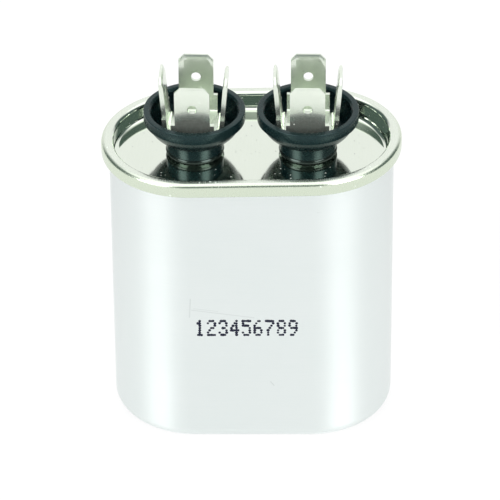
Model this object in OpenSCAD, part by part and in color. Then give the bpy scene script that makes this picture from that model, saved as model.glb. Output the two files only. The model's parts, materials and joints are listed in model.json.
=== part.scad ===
// Motor run capacitor: an obround drawn can closed by a double seamed cover,
// two moulded terminal cups with four-way blade terminals, and the wound,
// oil filled element that the can holds. Base on Z = 0, long side along X.

/* [Can] */
// Length of the can body, over its round ends
can_l = 52; // [46:0.5:64]
// Depth of the can body, over its flat sides
can_w = 30.5; // [28:0.5:36]
// Height of the can, from its base to the top of the seam
can_h = 57.9; // [54:0.1:90]
// Thickness of the drawn aluminium, wall and base
can_wall = 0.45; // [0.3:0.05:0.6]
// Outside radius round the edge of the base
can_edge_r = 2.6; // [1.5:0.1:3.5]

/* [Double seam] */
// Height of the seam, as it stands round the top of the can
seam_h = 2.8; // [2.6:0.1:3.4]
// Thickness of the tinplate of the cover
cover_sheet = 0.35; // [0.25:0.05:0.4]
// Gap between two layers of the seam
seam_gap = 0.08; // [0.05:0.01:0.12]
// Outside radius of the two upper corners of the seam
seam_edge_r = 0.75; // [0.6:0.05:0.9]
// Outside radius of the turned-in lower fold of the seam
fold_edge_r = 0.55; // [0.5:0.05:0.6]
// Outside radius of the can's own flange, inside the seam
flange_edge_r = 0.5; // [0.5:0.01:0.55]
// Thickness of the sealing compound under the top of the seam
compound_t = 0.2; // [0.15:0.05:0.3]
// How far the cover's hook ends below the can's flange
hook_relief = 0.25; // [0.15:0.05:0.6]

/* [Cover] */
// Depth of the sunk deck below the top of the seam
deck_depth = 3.5; // [3.2:0.1:5]
// Inside radius between the deck and the chuck wall
deck_fillet_r = 0.9; // [0.6:0.1:1.4]
// Distance between the two terminals
terminal_pitch = 20.6; // [19.6:0.1:24]

/* [Terminal cups] */
// Outside diameter of a cup, over its lip
cup_d = 18.5; // [18:0.1:19.2]
// Height of the lip's top face above the deck
cup_h = 9.1; // [8.8:0.1:12]
// Height of the lip's outer band
lip_h = 1.95; // [1.2:0.05:2.4]
// Width of the lip's flat top face
lip_w = 1; // [0.8:0.05:1.2]
// How far the lip stands out from the bowl below it
lip_step = 0.35; // [0.2:0.05:0.6]
// Radius of the bowl's outside curve
bowl_r = 5.4; // [5.2:0.05:5.6]
// Thickness of the bowl
bowl_wall = 1.05; // [0.9:0.05:1.1]
// Height of the bowl's lowest point above the deck
bowl_foot_h = 3.1; // [2.9:0.1:3.3]
// Height of the cup's floor above the deck
cup_floor_h = 5.1; // [4.9:0.05:5.2]
// Diameter of the neck's lower flange and of the gasket
neck_d = 10.4; // [9.8:0.1:11]
// Height of the neck's lower flange
neck_flange_h = 0.7; // [0.5:0.1:0.9]
// Diameter of the neck's waist
waist_d = 9.4; // [8.8:0.1:9.6]
// Diameter of the spigot that passes through the cover
spigot_d = 6.4; // [5.8:0.1:7]
// Length of the spigot below the cover
spigot_l = 1.4; // [1:0.1:1.6]
// Thickness of the rubber gasket under the neck
gasket_t = 1.1; // [0.9:0.1:1.3]
// Radial clearance of the spigot in the gasket, cover and bushing
spigot_fit = 0.1; // [0.05:0.05:0.2]

/* [Blade terminals] */
// Width of a blade
blade_w = 6.35; // [6.2:0.05:6.4]
// Thickness of the blades and of their plate
blade_t = 0.8; // [0.75:0.01:0.85]
// Length of a blade, from its shoulders to its tip
blade_l = 8.1; // [7:0.1:9.5]
// Height of the shoulders above the plate
shoulder_h = 3.15; // [2.8:0.05:3.6]
// Width over the shoulders, and of the arms below them down to the plate
shoulder_w = 7.8; // [7:0.1:8]
// Distance between the middles of two opposite blades, at the plate
blade_span = 10.1; // [10:0.1:10.6]
// Angle by which each blade leans outwards
blade_lean = 4.8; // [1:0.1:5.5]
// Inside radius of the bend between the plate and a blade
bend_r = 0.5; // [0.4:0.05:0.6]
// Corner cut at each side of a blade's tip
tip_cut = 1; // [0.6:0.1:1.4]
// Length of the bevel along the edges of a blade's tip, on each face
tip_bevel_l = 0.6; // [0.4:0.1:1]
// Depth of that bevel at the edge, on each face
tip_bevel_t = 0.2; // [0.1:0.05:0.25]
// Diameter of the latch hole in a blade
latch_hole_d = 1.8; // [1.6:0.05:2.1]
// Distance from a blade's tip to the middle of its latch hole
latch_hole_drop = 4.4; // [3.8:0.05:5]

/* [Terminal rivets] */
// Diameter of the rivet's shank
rivet_d = 3; // [2.6:0.1:3.2]
// Radial clearance of the shank in the pieces that it joins
rivet_fit = 0.05; // [0.02:0.01:0.1]
// Diameter of the rivet's domed head
rivet_head_d = 5.2; // [4.4:0.1:5.8]
// Height of the rivet's domed head
rivet_head_h = 0.9; // [0.6:0.1:1.2]
// Diameter of the closed foot
rivet_foot_d = 4.6; // [4:0.1:5]
// Height of the closed foot
rivet_foot_h = 0.8; // [0.5:0.1:1]

/* [Under the cover] */
// Diameter of an inner bushing
bushing_d = 13; // [11:0.5:15]
// Thickness of an inner bushing
bushing_t = 2.2; // [2:0.1:3]
// Chamfer round an inner bushing's lower edge
bushing_chamfer = 0.4; // [0.2:0.1:0.6]
// Thickness of the interrupter board
board_t = 1.6; // [1.2:0.1:2]
// Gap between the interrupter board and the can
board_gap = 1.3; // [0.8:0.1:2]
// Length of the two oil windows in the board
window_l = 8; // [6:0.5:10]
// Width of the oil windows in the board
window_w = 4; // [3:0.5:5]
// Distance between the middles of the two oil windows
window_pitch = 17; // [16:0.5:18]
// Thickness of a connecting lug
lug_t = 0.5; // [0.4:0.05:0.6]
// Width of a connecting lug
lug_w = 5; // [4.6:0.1:6]
// Length of a connecting lug, from the rivet to the lead
lug_l = 6; // [5:0.25:6.5]
// Diameter of a lead wire
lead_d = 1.4; // [1:0.1:1.6]
// Radius of a lead's bends, at the middle of the wire
lead_bend_r = 1.4; // [1.2:0.1:1.8]
// Drop of the short lead before it bends aside
lead_drop = 2; // [1.6:0.1:2.6]
// Distance that a lead runs sideways
lead_run = 6; // [5:0.25:7]
// Diameter of the solder joint at a lead's end
solder_d = 3.2; // [2.6:0.1:3.6]
// Height of the solder joint
solder_h = 0.8; // [0.6:0.1:1]

/* [Winding] */
// Room between the top insulator and the feet of the rivets, for the leads and the expanding oil
head_space = 4.1; // [3.8:0.1:8]
// Thickness of each metal sprayed end
spray_t = 0.5; // [0.3:0.1:0.8]
// Gap between the can and the wrap
wrap_gap = 0.65; // [0.4:0.05:0.9]
// Thickness of the insulating wrap
wrap_t = 0.4; // [0.2:0.1:0.8]
// Height of the wrap above the winding's top end
wrap_rise = 2.35; // [1.6:0.05:3]
// Gap between the wrap and the winding
winding_gap = 0.15; // [0.1:0.05:0.3]
// Width of the flattened core's slot
core_slot = 2.8; // [2.4:0.1:3.2]
// Thickness of the flattened core's wall
core_wall = 0.8; // [0.5:0.1:1.2]
// Gap between the core and the winding
core_gap = 0.05; // [0.02:0.01:0.1]

/* [Insulators] */
// Height of the bottom insulator's foot, which stands inside the base's edge
foot_h = 2.2; // [2.2:0.1:2.6]
// Gap between the foot and the rounded edge of the base
foot_gap = 0.1; // [0.05:0.05:0.3]
// Thickness of the bottom insulator's flange
flange_t = 1; // [0.8:0.1:1.5]
// Gap between the bottom insulator's flange and the can
flange_gap = 0.4; // [0.2:0.05:0.5]
// Depth of the lead channel in the bottom insulator
channel_depth = 1.75; // [1.7:0.05:1.9]
// Thickness of the top insulator
top_pad_t = 1.5; // [1:0.1:2]
// Diameter of the stand-off posts on the top insulator
post_d = 4; // [3:0.5:5]
// Distance between the two stand-off posts
post_pitch = 36; // [34:1:38]
// Gap between the posts and the interrupter board
post_gap = 0.2; // [0.1:0.05:0.4]
// Gap round a lead where it passes through an insulator
lead_gap = 0.4; // [0.3:0.05:0.6]

/* [Hidden] */
$fn = 96;

// A cut runs this far past the face that it opens.
cut = 1;

// Rounds of the obround outline: every piece that follows the can is swept round the same middle line.
half_run = (can_l - can_w) / 2;
can_r = can_w / 2;
can_bore_r = can_r - can_wall;

// Layers of the seam, from the chuck wall outwards.
chuck_r = can_bore_r - seam_gap - cover_sheet;
hook_r = can_r + seam_gap;
flange_out_r = hook_r + cover_sheet + seam_gap + can_wall;
skin_r = flange_out_r + seam_gap + cover_sheet;
seam_z = can_h - seam_h;
flange_top = can_h - cover_sheet - compound_t;
flange_end = seam_z + cover_sheet + seam_gap;
hook_end = flange_top - can_wall - hook_relief;

// Deck of the cover and what stands on it.
deck_z = can_h - deck_depth;
deck_under = deck_z - cover_sheet;
cover_hole_d = spigot_d + 2 * spigot_fit;
lip_r = cup_d / 2;
bowl_out_r = lip_r - lip_step;
bowl_mid_r = bowl_out_r - bowl_r;
bowl_mid_h = bowl_foot_h + bowl_r;
bore_d = rivet_d + 2 * rivet_fit;

// Stack under the cover, from the top down.
bushing_under = deck_under - bushing_t;
board_under = bushing_under - board_t;
lug_under = board_under - lug_t;
rivet_end = lug_under - rivet_foot_h;

// Stack on the base. The winding fills the height between its insulators.
foot_top = can_wall + foot_h;
winding_seat = foot_top + flange_t;
winding_base = winding_seat + spray_t;
pad_top = rivet_end - head_space;
spray_top = pad_top - top_pad_t;
winding_top = spray_top - spray_t;
wrap_out_r = can_bore_r - wrap_gap;
wrap_in_r = wrap_out_r - wrap_t;
winding_r = wrap_in_r - winding_gap;
core_r = core_slot / 2 + core_wall;
hole_in_winding_r = core_r + core_gap;

// Blades.
plate_top = cup_floor_h + blade_t;
bend_mid = blade_span / 2 - blade_t / 2 - bend_r;
blade_rise = shoulder_h + blade_l;
blade_run = (blade_rise - bend_r) / cos(blade_lean);

// Leads hang from the ends of the two lugs.
lead_x = terminal_pitch / 2 - lug_l;

// ---- Plane shapes and sweeps ----

// Rectangle from x0 to x1 and y0 to y1 with round corners
module soft_rect(x0, x1, y0, y1, r) {
    translate([x0 + r, y0]) square([x1 - x0 - 2 * r, y1 - y0]);
    translate([x0, y0 + r]) square([x1 - x0, y1 - y0 - 2 * r]);
    for (x = [x0 + r, x1 - r], y = [y0 + r, y1 - r]) translate([x, y]) circle(r);
}

// Crown of a folded sheet of thickness t: its top is at y = 0 and its two feet end at y = -r
module arch(x0, x1, t, r) {
    difference() {
        soft_rect(x0, x1, -3 * r, 0, r);
        soft_rect(x0 + t, x1 - t, -3 * r, -t, r - t);
        translate([x0 - cut, -3 * r - cut]) square([x1 - x0 + 2 * cut, 2 * r + cut]);
    }
}

// Lower right quarter of a ring of inside radius r and width t
module quarter_ring(r, t) {
    difference() {
        circle(r + t);
        circle(r);
        translate([-2 * (r + t), -2 * (r + t)]) square([2 * (r + t), 4 * (r + t)]);
        translate([-cut, 0]) square([2 * (r + t), 2 * (r + t)]);
    }
}

// Sweeps a section round the obround: its x is the distance from the middle line, its y the height
module obround_sweep() {
    for (side = [0, 180]) rotate([0, 0, side]) {
        translate([half_run, 0, 0]) rotate([0, 0, -90]) rotate_extrude(angle = 180) children();
        translate([-half_run, 0, 0]) rotate([90, 0, 90]) linear_extrude(2 * half_run) children();
    }
}

// Obround plate or ring between two heights
module obround_band(r_in, r_out, z0, z1) {
    obround_sweep() translate([r_in, z0]) square([r_out - r_in, z1 - z0]);
}

module at_terminal(side) {
    translate([side * terminal_pitch / 2, 0, 0]) children();
}

// ---- Can and cover ----

module case_section() {
    inner_edge_r = can_edge_r - can_wall;
    translate([0, 0]) square([can_r - can_edge_r, can_wall]);
    translate([can_r - can_edge_r, can_edge_r]) quarter_ring(inner_edge_r, can_wall);
    translate([can_bore_r, can_edge_r]) square([can_wall, flange_top - flange_edge_r - can_edge_r]);
    translate([0, flange_top]) arch(can_bore_r, flange_out_r, can_wall, flange_edge_r);
    translate([flange_out_r - can_wall, flange_end])
        square([can_wall, flange_top - flange_edge_r - flange_end]);
}

module case() {
    color("#dfe4e2") obround_sweep() case_section();
}

module cover_section() {
    translate([0, can_h]) arch(chuck_r, skin_r, cover_sheet, seam_edge_r);
    translate([skin_r - cover_sheet, seam_z + fold_edge_r])
        square([cover_sheet, seam_h - seam_edge_r - fold_edge_r]);
    translate([0, seam_z]) mirror([0, 1]) arch(hook_r, skin_r, cover_sheet, fold_edge_r);
    translate([hook_r, seam_z + fold_edge_r]) square([cover_sheet, hook_end - seam_z - fold_edge_r]);
    translate([chuck_r, deck_z + deck_fillet_r])
        square([cover_sheet, deck_depth - seam_edge_r - deck_fillet_r]);
    translate([chuck_r - deck_fillet_r, deck_z + deck_fillet_r]) quarter_ring(deck_fillet_r, cover_sheet);
    translate([0, deck_under]) square([chuck_r - deck_fillet_r, cover_sheet]);
}

module cover() {
    color("#cfd6cc") difference() {
        obround_sweep() cover_section();
        for (side = [-1, 1]) at_terminal(side)
            translate([0, 0, deck_under - cut]) cylinder(d = cover_hole_d, h = cover_sheet + 2 * cut);
    }
}

// Thin bead of rubber compound between the can's flange and the top of the seam
module seam_compound() {
    color("#3c4240")
        obround_band(can_bore_r + can_wall, flange_out_r - can_wall, flange_top, flange_top + compound_t);
}

// ---- Terminals ----

module cup_gasket(side) {
    color("#1c1f1f") at_terminal(side) translate([0, 0, deck_z]) difference() {
        cylinder(d = neck_d, h = gasket_t);
        translate([0, 0, -cut]) cylinder(d = cover_hole_d, h = gasket_t + 2 * cut);
    }
}

module cup_section() {
    neck_r = neck_d / 2;
    waist_r = waist_d / 2;
    bowl_in_r = bowl_r - bowl_wall;
    mouth_r = lip_r - lip_w;
    difference() {
        union() {
            intersection() {
                union() {
                    translate([bowl_mid_r, bowl_mid_h]) circle(bowl_r);
                    translate([0, bowl_foot_h]) square([bowl_mid_r, cup_h - bowl_foot_h]);
                }
                square([bowl_out_r, cup_h - lip_h]);
            }
            translate([0, cup_h - lip_h]) square([lip_r, lip_h]);
            translate([0, gasket_t]) square([waist_r, cup_floor_h - gasket_t]);
            translate([0, gasket_t]) square([neck_r, neck_flange_h]);
            polygon([[0, gasket_t + neck_flange_h], [neck_r, gasket_t + neck_flange_h],
                     [waist_r, gasket_t + neck_flange_h + neck_r - waist_r], [0, bowl_foot_h]]);
            translate([0, -cover_sheet - spigot_l])
                square([spigot_d / 2, gasket_t + cover_sheet + spigot_l]);
        }
        intersection() {
            union() {
                translate([bowl_mid_r, bowl_mid_h]) circle(bowl_in_r);
                translate([0, cup_floor_h]) square([bowl_mid_r, cup_h]);
                translate([0, bowl_mid_h]) square([bowl_mid_r + bowl_in_r, cup_h]);
                polygon([[0, cup_h - mouth_r + bowl_mid_r + bowl_in_r],
                         [bowl_mid_r + bowl_in_r, cup_h - mouth_r + bowl_mid_r + bowl_in_r],
                         [mouth_r, cup_h], [mouth_r, cup_h + cut], [0, cup_h + cut]]);
            }
            translate([0, cup_floor_h]) square([lip_r, cup_h]);
        }
        translate([-cut, -cover_sheet - spigot_l - cut]) square([bore_d / 2 + cut, cup_h + 2 * cut + spigot_l]);
    }
}

module terminal_cup(side) {
    color("#23282a") at_terminal(side) translate([0, 0, deck_z]) rotate_extrude() cup_section();
}

// Side section of one arm of the terminal: plate, bend and leaning blade
module blade_section() {
    reach = 2 * (bend_r + blade_t);
    square([bend_mid, blade_t]);
    translate([bend_mid, blade_t + bend_r]) {
        intersection() {
            difference() {
                circle(bend_r + blade_t);
                circle(bend_r);
            }
            polygon([[0, 0], [0, -reach], [reach, -reach], [reach * cos(blade_lean), -reach * sin(blade_lean)]]);
        }
        rotate(-blade_lean) translate([bend_r, 0]) square([blade_t, blade_run]);
    }
}

// Face outline of an arm: wide from the plate up to the shoulders, then the blade with its cut corners
module blade_outline() {
    half = blade_w / 2;
    ear = shoulder_w / 2;
    tip = blade_t + blade_rise;
    shoulder = blade_t + shoulder_h;
    polygon([[-ear, -cut], [ear, -cut], [ear, shoulder], [half, shoulder], [half, tip - tip_cut],
             [half - tip_cut, tip], [tip_cut - half, tip], [-half, tip - tip_cut], [-half, shoulder],
             [-ear, shoulder]]);
}

// Puts its children on a blade: x across it, y out of its faces from the middle of the sheet, z along it
module on_blade() {
    translate([0, bend_mid, blade_t + bend_r]) rotate([-blade_lean, 0, 0])
        translate([0, bend_r + blade_t / 2, 0]) children();
}

// What the bevels take off both faces along an edge that runs in x through the origin
module edge_bevels() {
    face = blade_t / 2;
    slope_end = face - tip_bevel_t - cut * tip_bevel_t / tip_bevel_l;
    for (side = [-1, 1]) translate([-blade_w, 0, 0]) rotate([90, 0, 90]) linear_extrude(2 * blade_w)
        polygon([[side * face, -tip_bevel_l], [side * slope_end, cut], [side * (face + cut), cut],
                 [side * (face + cut), -tip_bevel_l]]);
}

module blade_arm() {
    depth = 2 * blade_span;
    difference() {
        intersection() {
            translate([-shoulder_w / 2, 0, 0]) rotate([90, 0, 90]) linear_extrude(shoulder_w) blade_section();
            translate([0, depth, 0]) rotate([90, 0, 0]) linear_extrude(depth) blade_outline();
        }
        on_blade() translate([0, blade_t, blade_run - latch_hole_drop]) rotate([90, 0, 0])
            cylinder(d = latch_hole_d, h = 2 * blade_t, $fn = 48);
        on_blade() translate([0, 0, blade_run]) edge_bevels();
        for (side = [-1, 1]) on_blade()
            translate([side * (blade_w - tip_cut) / 2, 0, blade_run - tip_cut / 2]) rotate([0, side * 45, 0])
                edge_bevels();
    }
}

module blade_terminal(side) {
    color("#c4cabd") at_terminal(side) translate([0, 0, deck_z + cup_floor_h]) difference() {
        for (turn = [0:90:270]) rotate([0, 0, turn]) blade_arm();
        translate([0, 0, -cut]) cylinder(d = bore_d, h = blade_t + 2 * cut);
    }
}

// Rivet that clamps the blades, cup, cover, bushing, board and lug together
module terminal_rivet(side) {
    head_r = rivet_head_d / 2;
    dome_r = (head_r * head_r + rivet_head_h * rivet_head_h) / (2 * rivet_head_h);
    head_z = deck_z + plate_top;
    color("#b8bfb4") at_terminal(side) {
        intersection() {
            translate([0, 0, head_z + rivet_head_h - dome_r]) sphere(dome_r);
            translate([0, 0, head_z]) cylinder(d = rivet_head_d, h = 2 * rivet_head_h);
        }
        translate([0, 0, lug_under]) cylinder(d = rivet_d, h = head_z - lug_under);
        translate([0, 0, rivet_end]) cylinder(d = rivet_foot_d, h = rivet_foot_h);
    }
}

// ---- Under the cover ----

module inner_bushing(side) {
    r = bushing_d / 2;
    c = bushing_chamfer;
    color("#6b4a34") at_terminal(side) difference() {
        translate([0, 0, bushing_under]) rotate_extrude()
            polygon([[0, 0], [r - c, 0], [r, c], [r, bushing_t], [0, bushing_t]]);
        translate([0, 0, deck_under - spigot_l - spigot_fit]) cylinder(d = cover_hole_d, h = spigot_l + spigot_fit + cut);
        translate([0, 0, bushing_under - cut]) cylinder(d = bore_d, h = bushing_t + 2 * cut);
    }
}

module interrupter_board() {
    color("#a98a5c") difference() {
        obround_band(0, can_bore_r - board_gap, board_under, bushing_under);
        for (side = [-1, 1]) {
            at_terminal(side) translate([0, 0, board_under - cut]) cylinder(d = bore_d, h = board_t + 2 * cut);
            translate([-window_l / 2, side * window_pitch / 2 - window_w / 2, board_under - cut])
                linear_extrude(board_t + 2 * cut) soft_rect(0, window_l, 0, window_w, window_w / 4);
        }
    }
}

module inner_lug(side) {
    color("#c9b277") translate([0, 0, lug_under]) difference() {
        union() {
            at_terminal(side) cylinder(d = lug_w, h = lug_t);
            translate([side * lead_x, 0, 0]) cylinder(d = lug_w, h = lug_t);
            translate([side * (lead_x + terminal_pitch / 2) / 2 - lug_l / 2, -lug_w / 2, 0]) cube([lug_l, lug_w, lug_t]);
        }
        at_terminal(side) translate([0, 0, -cut]) cylinder(d = bore_d, h = lug_t + 2 * cut);
    }
}

// Quarter bend of a lead in the YZ plane, round the origin, from the angle start on
module lead_bend(start) {
    rotate([90, 0, 90]) rotate([0, 0, start])
        rotate_extrude(angle = 90) translate([lead_bend_r, 0]) circle(d = lead_d, $fn = 32);
}

module lead_rod(length) {
    cylinder(d = lead_d, h = length, $fn = 32);
}

// Lead from the left lug to the top end of the winding: down, aside and down again
module lead_short() {
    bend_z = lug_under - lead_drop;
    far_z = bend_z - 2 * lead_bend_r;
    color("#8d2f2a") translate([-lead_x, 0, 0]) {
        translate([0, 0, bend_z]) lead_rod(lead_drop);
        translate([0, lead_bend_r, bend_z]) lead_bend(180);
        translate([0, lead_bend_r, bend_z - lead_bend_r]) rotate([-90, 0, 0]) lead_rod(lead_run - 2 * lead_bend_r);
        translate([0, lead_run - lead_bend_r, far_z]) lead_bend(0);
        translate([0, lead_run, spray_top]) lead_rod(far_z - spray_top);
        translate([0, lead_run, spray_top]) cylinder(d = solder_d, h = solder_h);
    }
}

// Lead from the right lug, down through the core to the bottom end of the winding
module lead_long() {
    axis_z = winding_seat - solder_h;
    bend_z = axis_z + lead_bend_r;
    color("#8d2f2a") translate([lead_x, 0, 0]) {
        translate([0, 0, bend_z]) lead_rod(lug_under - bend_z);
        translate([0, lead_bend_r, bend_z]) lead_bend(180);
        translate([0, lead_bend_r, axis_z]) rotate([-90, 0, 0]) lead_rod(lead_run - lead_bend_r);
        translate([0, lead_run, axis_z]) cylinder(d = solder_d, h = solder_h);
    }
}

// ---- Winding and insulators ----

module top_insulator() {
    post_h = board_under - post_gap - pad_top;
    hole_d = solder_d + 2 * lead_gap;
    color("#e8e6dc") difference() {
        union() {
            obround_band(0, winding_r, spray_top, pad_top);
            for (side = [-1, 1]) translate([side * post_pitch / 2, 0, pad_top]) cylinder(d = post_d, h = post_h);
        }
        translate([-lead_x, lead_run, spray_top - cut]) cylinder(d = hole_d, h = top_pad_t + 2 * cut);
        translate([lead_x, 0, spray_top - cut]) cylinder(d = lead_d + 2 * lead_gap, h = top_pad_t + 2 * cut);
    }
}

module end_spray(z) {
    color("#9aa0a2") obround_band(hole_in_winding_r, winding_r, z, z + spray_t);
}

module winding() {
    color("#d9d2c0") obround_band(hole_in_winding_r, winding_r, winding_base, winding_top);
}

module winding_core() {
    color("#efefef") obround_band(core_slot / 2, core_r, winding_seat, spray_top);
}

module wrap_sleeve() {
    color("#c8b48a") obround_band(wrap_in_r, wrap_out_r, winding_seat, spray_top + wrap_rise);
}

module bottom_insulator() {
    width = solder_d + 2 * lead_gap;
    foot_r = can_r - can_edge_r - foot_gap;
    color("#e8e6dc") difference() {
        union() {
            obround_band(0, foot_r, can_wall, foot_top);
            obround_band(0, can_bore_r - flange_gap, foot_top, winding_seat);
        }
        translate([lead_x, 0, winding_seat - channel_depth]) {
            cylinder(d = width, h = channel_depth + cut);
            translate([0, lead_run, 0]) cylinder(d = width, h = channel_depth + cut);
            translate([-width / 2, 0, 0]) cube([width, lead_run, channel_depth + cut]);
        }
    }
}

case();
cover();
seam_compound();
cup_gasket(-1);  // cup_gasket_left
cup_gasket(1);  // cup_gasket_right
terminal_cup(-1);  // terminal_cup_left
terminal_cup(1);  // terminal_cup_right
blade_terminal(-1);  // blade_terminal_left
blade_terminal(1);  // blade_terminal_right
terminal_rivet(-1);  // terminal_rivet_left
terminal_rivet(1);  // terminal_rivet_right
inner_bushing(-1);  // inner_bushing_left
inner_bushing(1);  // inner_bushing_right
interrupter_board();
inner_lug(-1);  // inner_lug_left
inner_lug(1);  // inner_lug_right
lead_short();
lead_long();
top_insulator();
end_spray(winding_top);  // end_spray_top
winding();
winding_core();
end_spray(winding_seat);  // end_spray_bottom
wrap_sleeve();
bottom_insulator();
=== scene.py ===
"""Looks of an oval motor run capacitor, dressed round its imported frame.

The can, its double-seamed cover, the two moulded terminal cups and the four-way blade
terminals are each made here as a fine closed mesh over the node that they stand for. What
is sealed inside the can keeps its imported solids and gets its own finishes.
"""
import json
import logging
import math
from dataclasses import dataclass, field
from enum import Enum

import bmesh
import bpy
from mathutils import Matrix, Vector


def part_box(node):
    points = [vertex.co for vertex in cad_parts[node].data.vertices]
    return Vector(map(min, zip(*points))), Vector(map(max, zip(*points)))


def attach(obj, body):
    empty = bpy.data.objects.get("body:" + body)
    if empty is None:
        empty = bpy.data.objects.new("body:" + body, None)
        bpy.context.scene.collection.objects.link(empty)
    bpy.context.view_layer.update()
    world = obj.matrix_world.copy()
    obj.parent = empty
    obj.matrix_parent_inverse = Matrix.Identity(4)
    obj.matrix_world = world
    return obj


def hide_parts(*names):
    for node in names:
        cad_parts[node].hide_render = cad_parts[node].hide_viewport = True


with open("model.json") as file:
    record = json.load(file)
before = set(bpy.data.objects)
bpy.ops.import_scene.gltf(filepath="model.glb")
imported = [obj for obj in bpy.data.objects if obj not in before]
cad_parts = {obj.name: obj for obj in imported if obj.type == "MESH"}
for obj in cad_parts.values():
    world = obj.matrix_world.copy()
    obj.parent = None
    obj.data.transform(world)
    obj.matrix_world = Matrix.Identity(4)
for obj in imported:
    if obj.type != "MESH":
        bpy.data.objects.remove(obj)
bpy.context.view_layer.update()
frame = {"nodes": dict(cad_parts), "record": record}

MM = 0.001
QUARTER_TURN = 0.25
BODY = "root"

Point = tuple[float, float]
Inputs = dict[str | int, object]

log = logging.getLogger("capacitor")


# ---- Small helpers ----


def linear(hex_colour: str) -> tuple[float, float, float, float]:
    """Turns an sRGB hex colour to linear light.

    Args:
        hex_colour: colour such as "c8d0c4".

    Returns:
        Red, green, blue and alpha as a shader takes them.
    """
    levels = [int(hex_colour[i:i + 2], 16) / 255 for i in (0, 2, 4)]
    parts = [c / 12.92 if c <= 0.04045 else ((c + 0.055) / 1.055) ** 2.4 for c in levels]
    return parts[0], parts[1], parts[2], 1.0


def add_node(tree: bpy.types.NodeTree, kind: str, inputs: Inputs | None = None,
             links: Inputs | None = None, **settings: object) -> bpy.types.Node:
    """Adds one node with its settings, its constants and its links.

    Args:
        tree: node tree that gets the node.
        kind: Blender's type name of the node.
        inputs: constants by socket name or number.
        links: output sockets by the name or number of the input that they feed.
        **settings: properties of the node itself.

    Returns:
        The new node.
    """
    node = tree.nodes.new(kind)
    for name, value in settings.items():
        setattr(node, name, value)
    for key, value in (inputs or {}).items():
        node.inputs[key].default_value = value
    for key, source in (links or {}).items():
        tree.links.new(source, node.inputs[key])
    return node


def new_object(name: str, mesh: bpy.types.Mesh) -> bpy.types.Object:
    """Links a mesh into the scene as an object at the origin."""
    piece = bpy.data.objects.new(name, mesh)
    bpy.context.scene.collection.objects.link(piece)
    return piece


def arc(centre: Point, radius: float, start: float, end: float, steps: int) -> list[Point]:
    """Points along an arc.

    Args:
        centre: middle of the arc.
        radius: its radius.
        start: first angle in degrees, from +x towards +y.
        end: last angle in degrees.
        steps: number of chords.

    Returns:
        steps + 1 points.
    """
    turns = [math.radians(start + (end - start) * i / steps) for i in range(steps + 1)]
    return [(centre[0] + radius * math.cos(a), centre[1] + radius * math.sin(a)) for a in turns]


def soften(corners: list[tuple[float, float, float]], steps: int = 4) -> list[Point]:
    """Rounds the corners of a closed section.

    Args:
        corners: x, y and rounding radius of each corner, 0 for a corner left as it is.
        steps: chords in each rounding.

    Returns:
        The points of the rounded section.
    """
    points: list[Point] = []
    count = len(corners)
    for i, (x, y, radius) in enumerate(corners):
        here = Vector((x, y))
        to_last = Vector(corners[i - 1][:2]) - here
        to_next = Vector(corners[(i + 1) % count][:2]) - here
        if radius <= 0:
            points.append((x, y))
            continue
        a, b = to_last.normalized(), to_next.normalized()
        half = a.angle(b) / 2
        reach = min(radius / math.tan(half), to_last.length * 0.49, to_next.length * 0.49)
        for k in range(steps + 1):
            t = k / steps
            p, q = here + a * reach, here + b * reach
            points.append(tuple(p * (1 - t) ** 2 + here * 2 * t * (1 - t) + q * t ** 2))
    return points


# ---- Sweeps ----


class Path(Enum):
    """Middle line that a section is swept round."""

    OBROUND = "obround"
    ROUND = "round"


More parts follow.
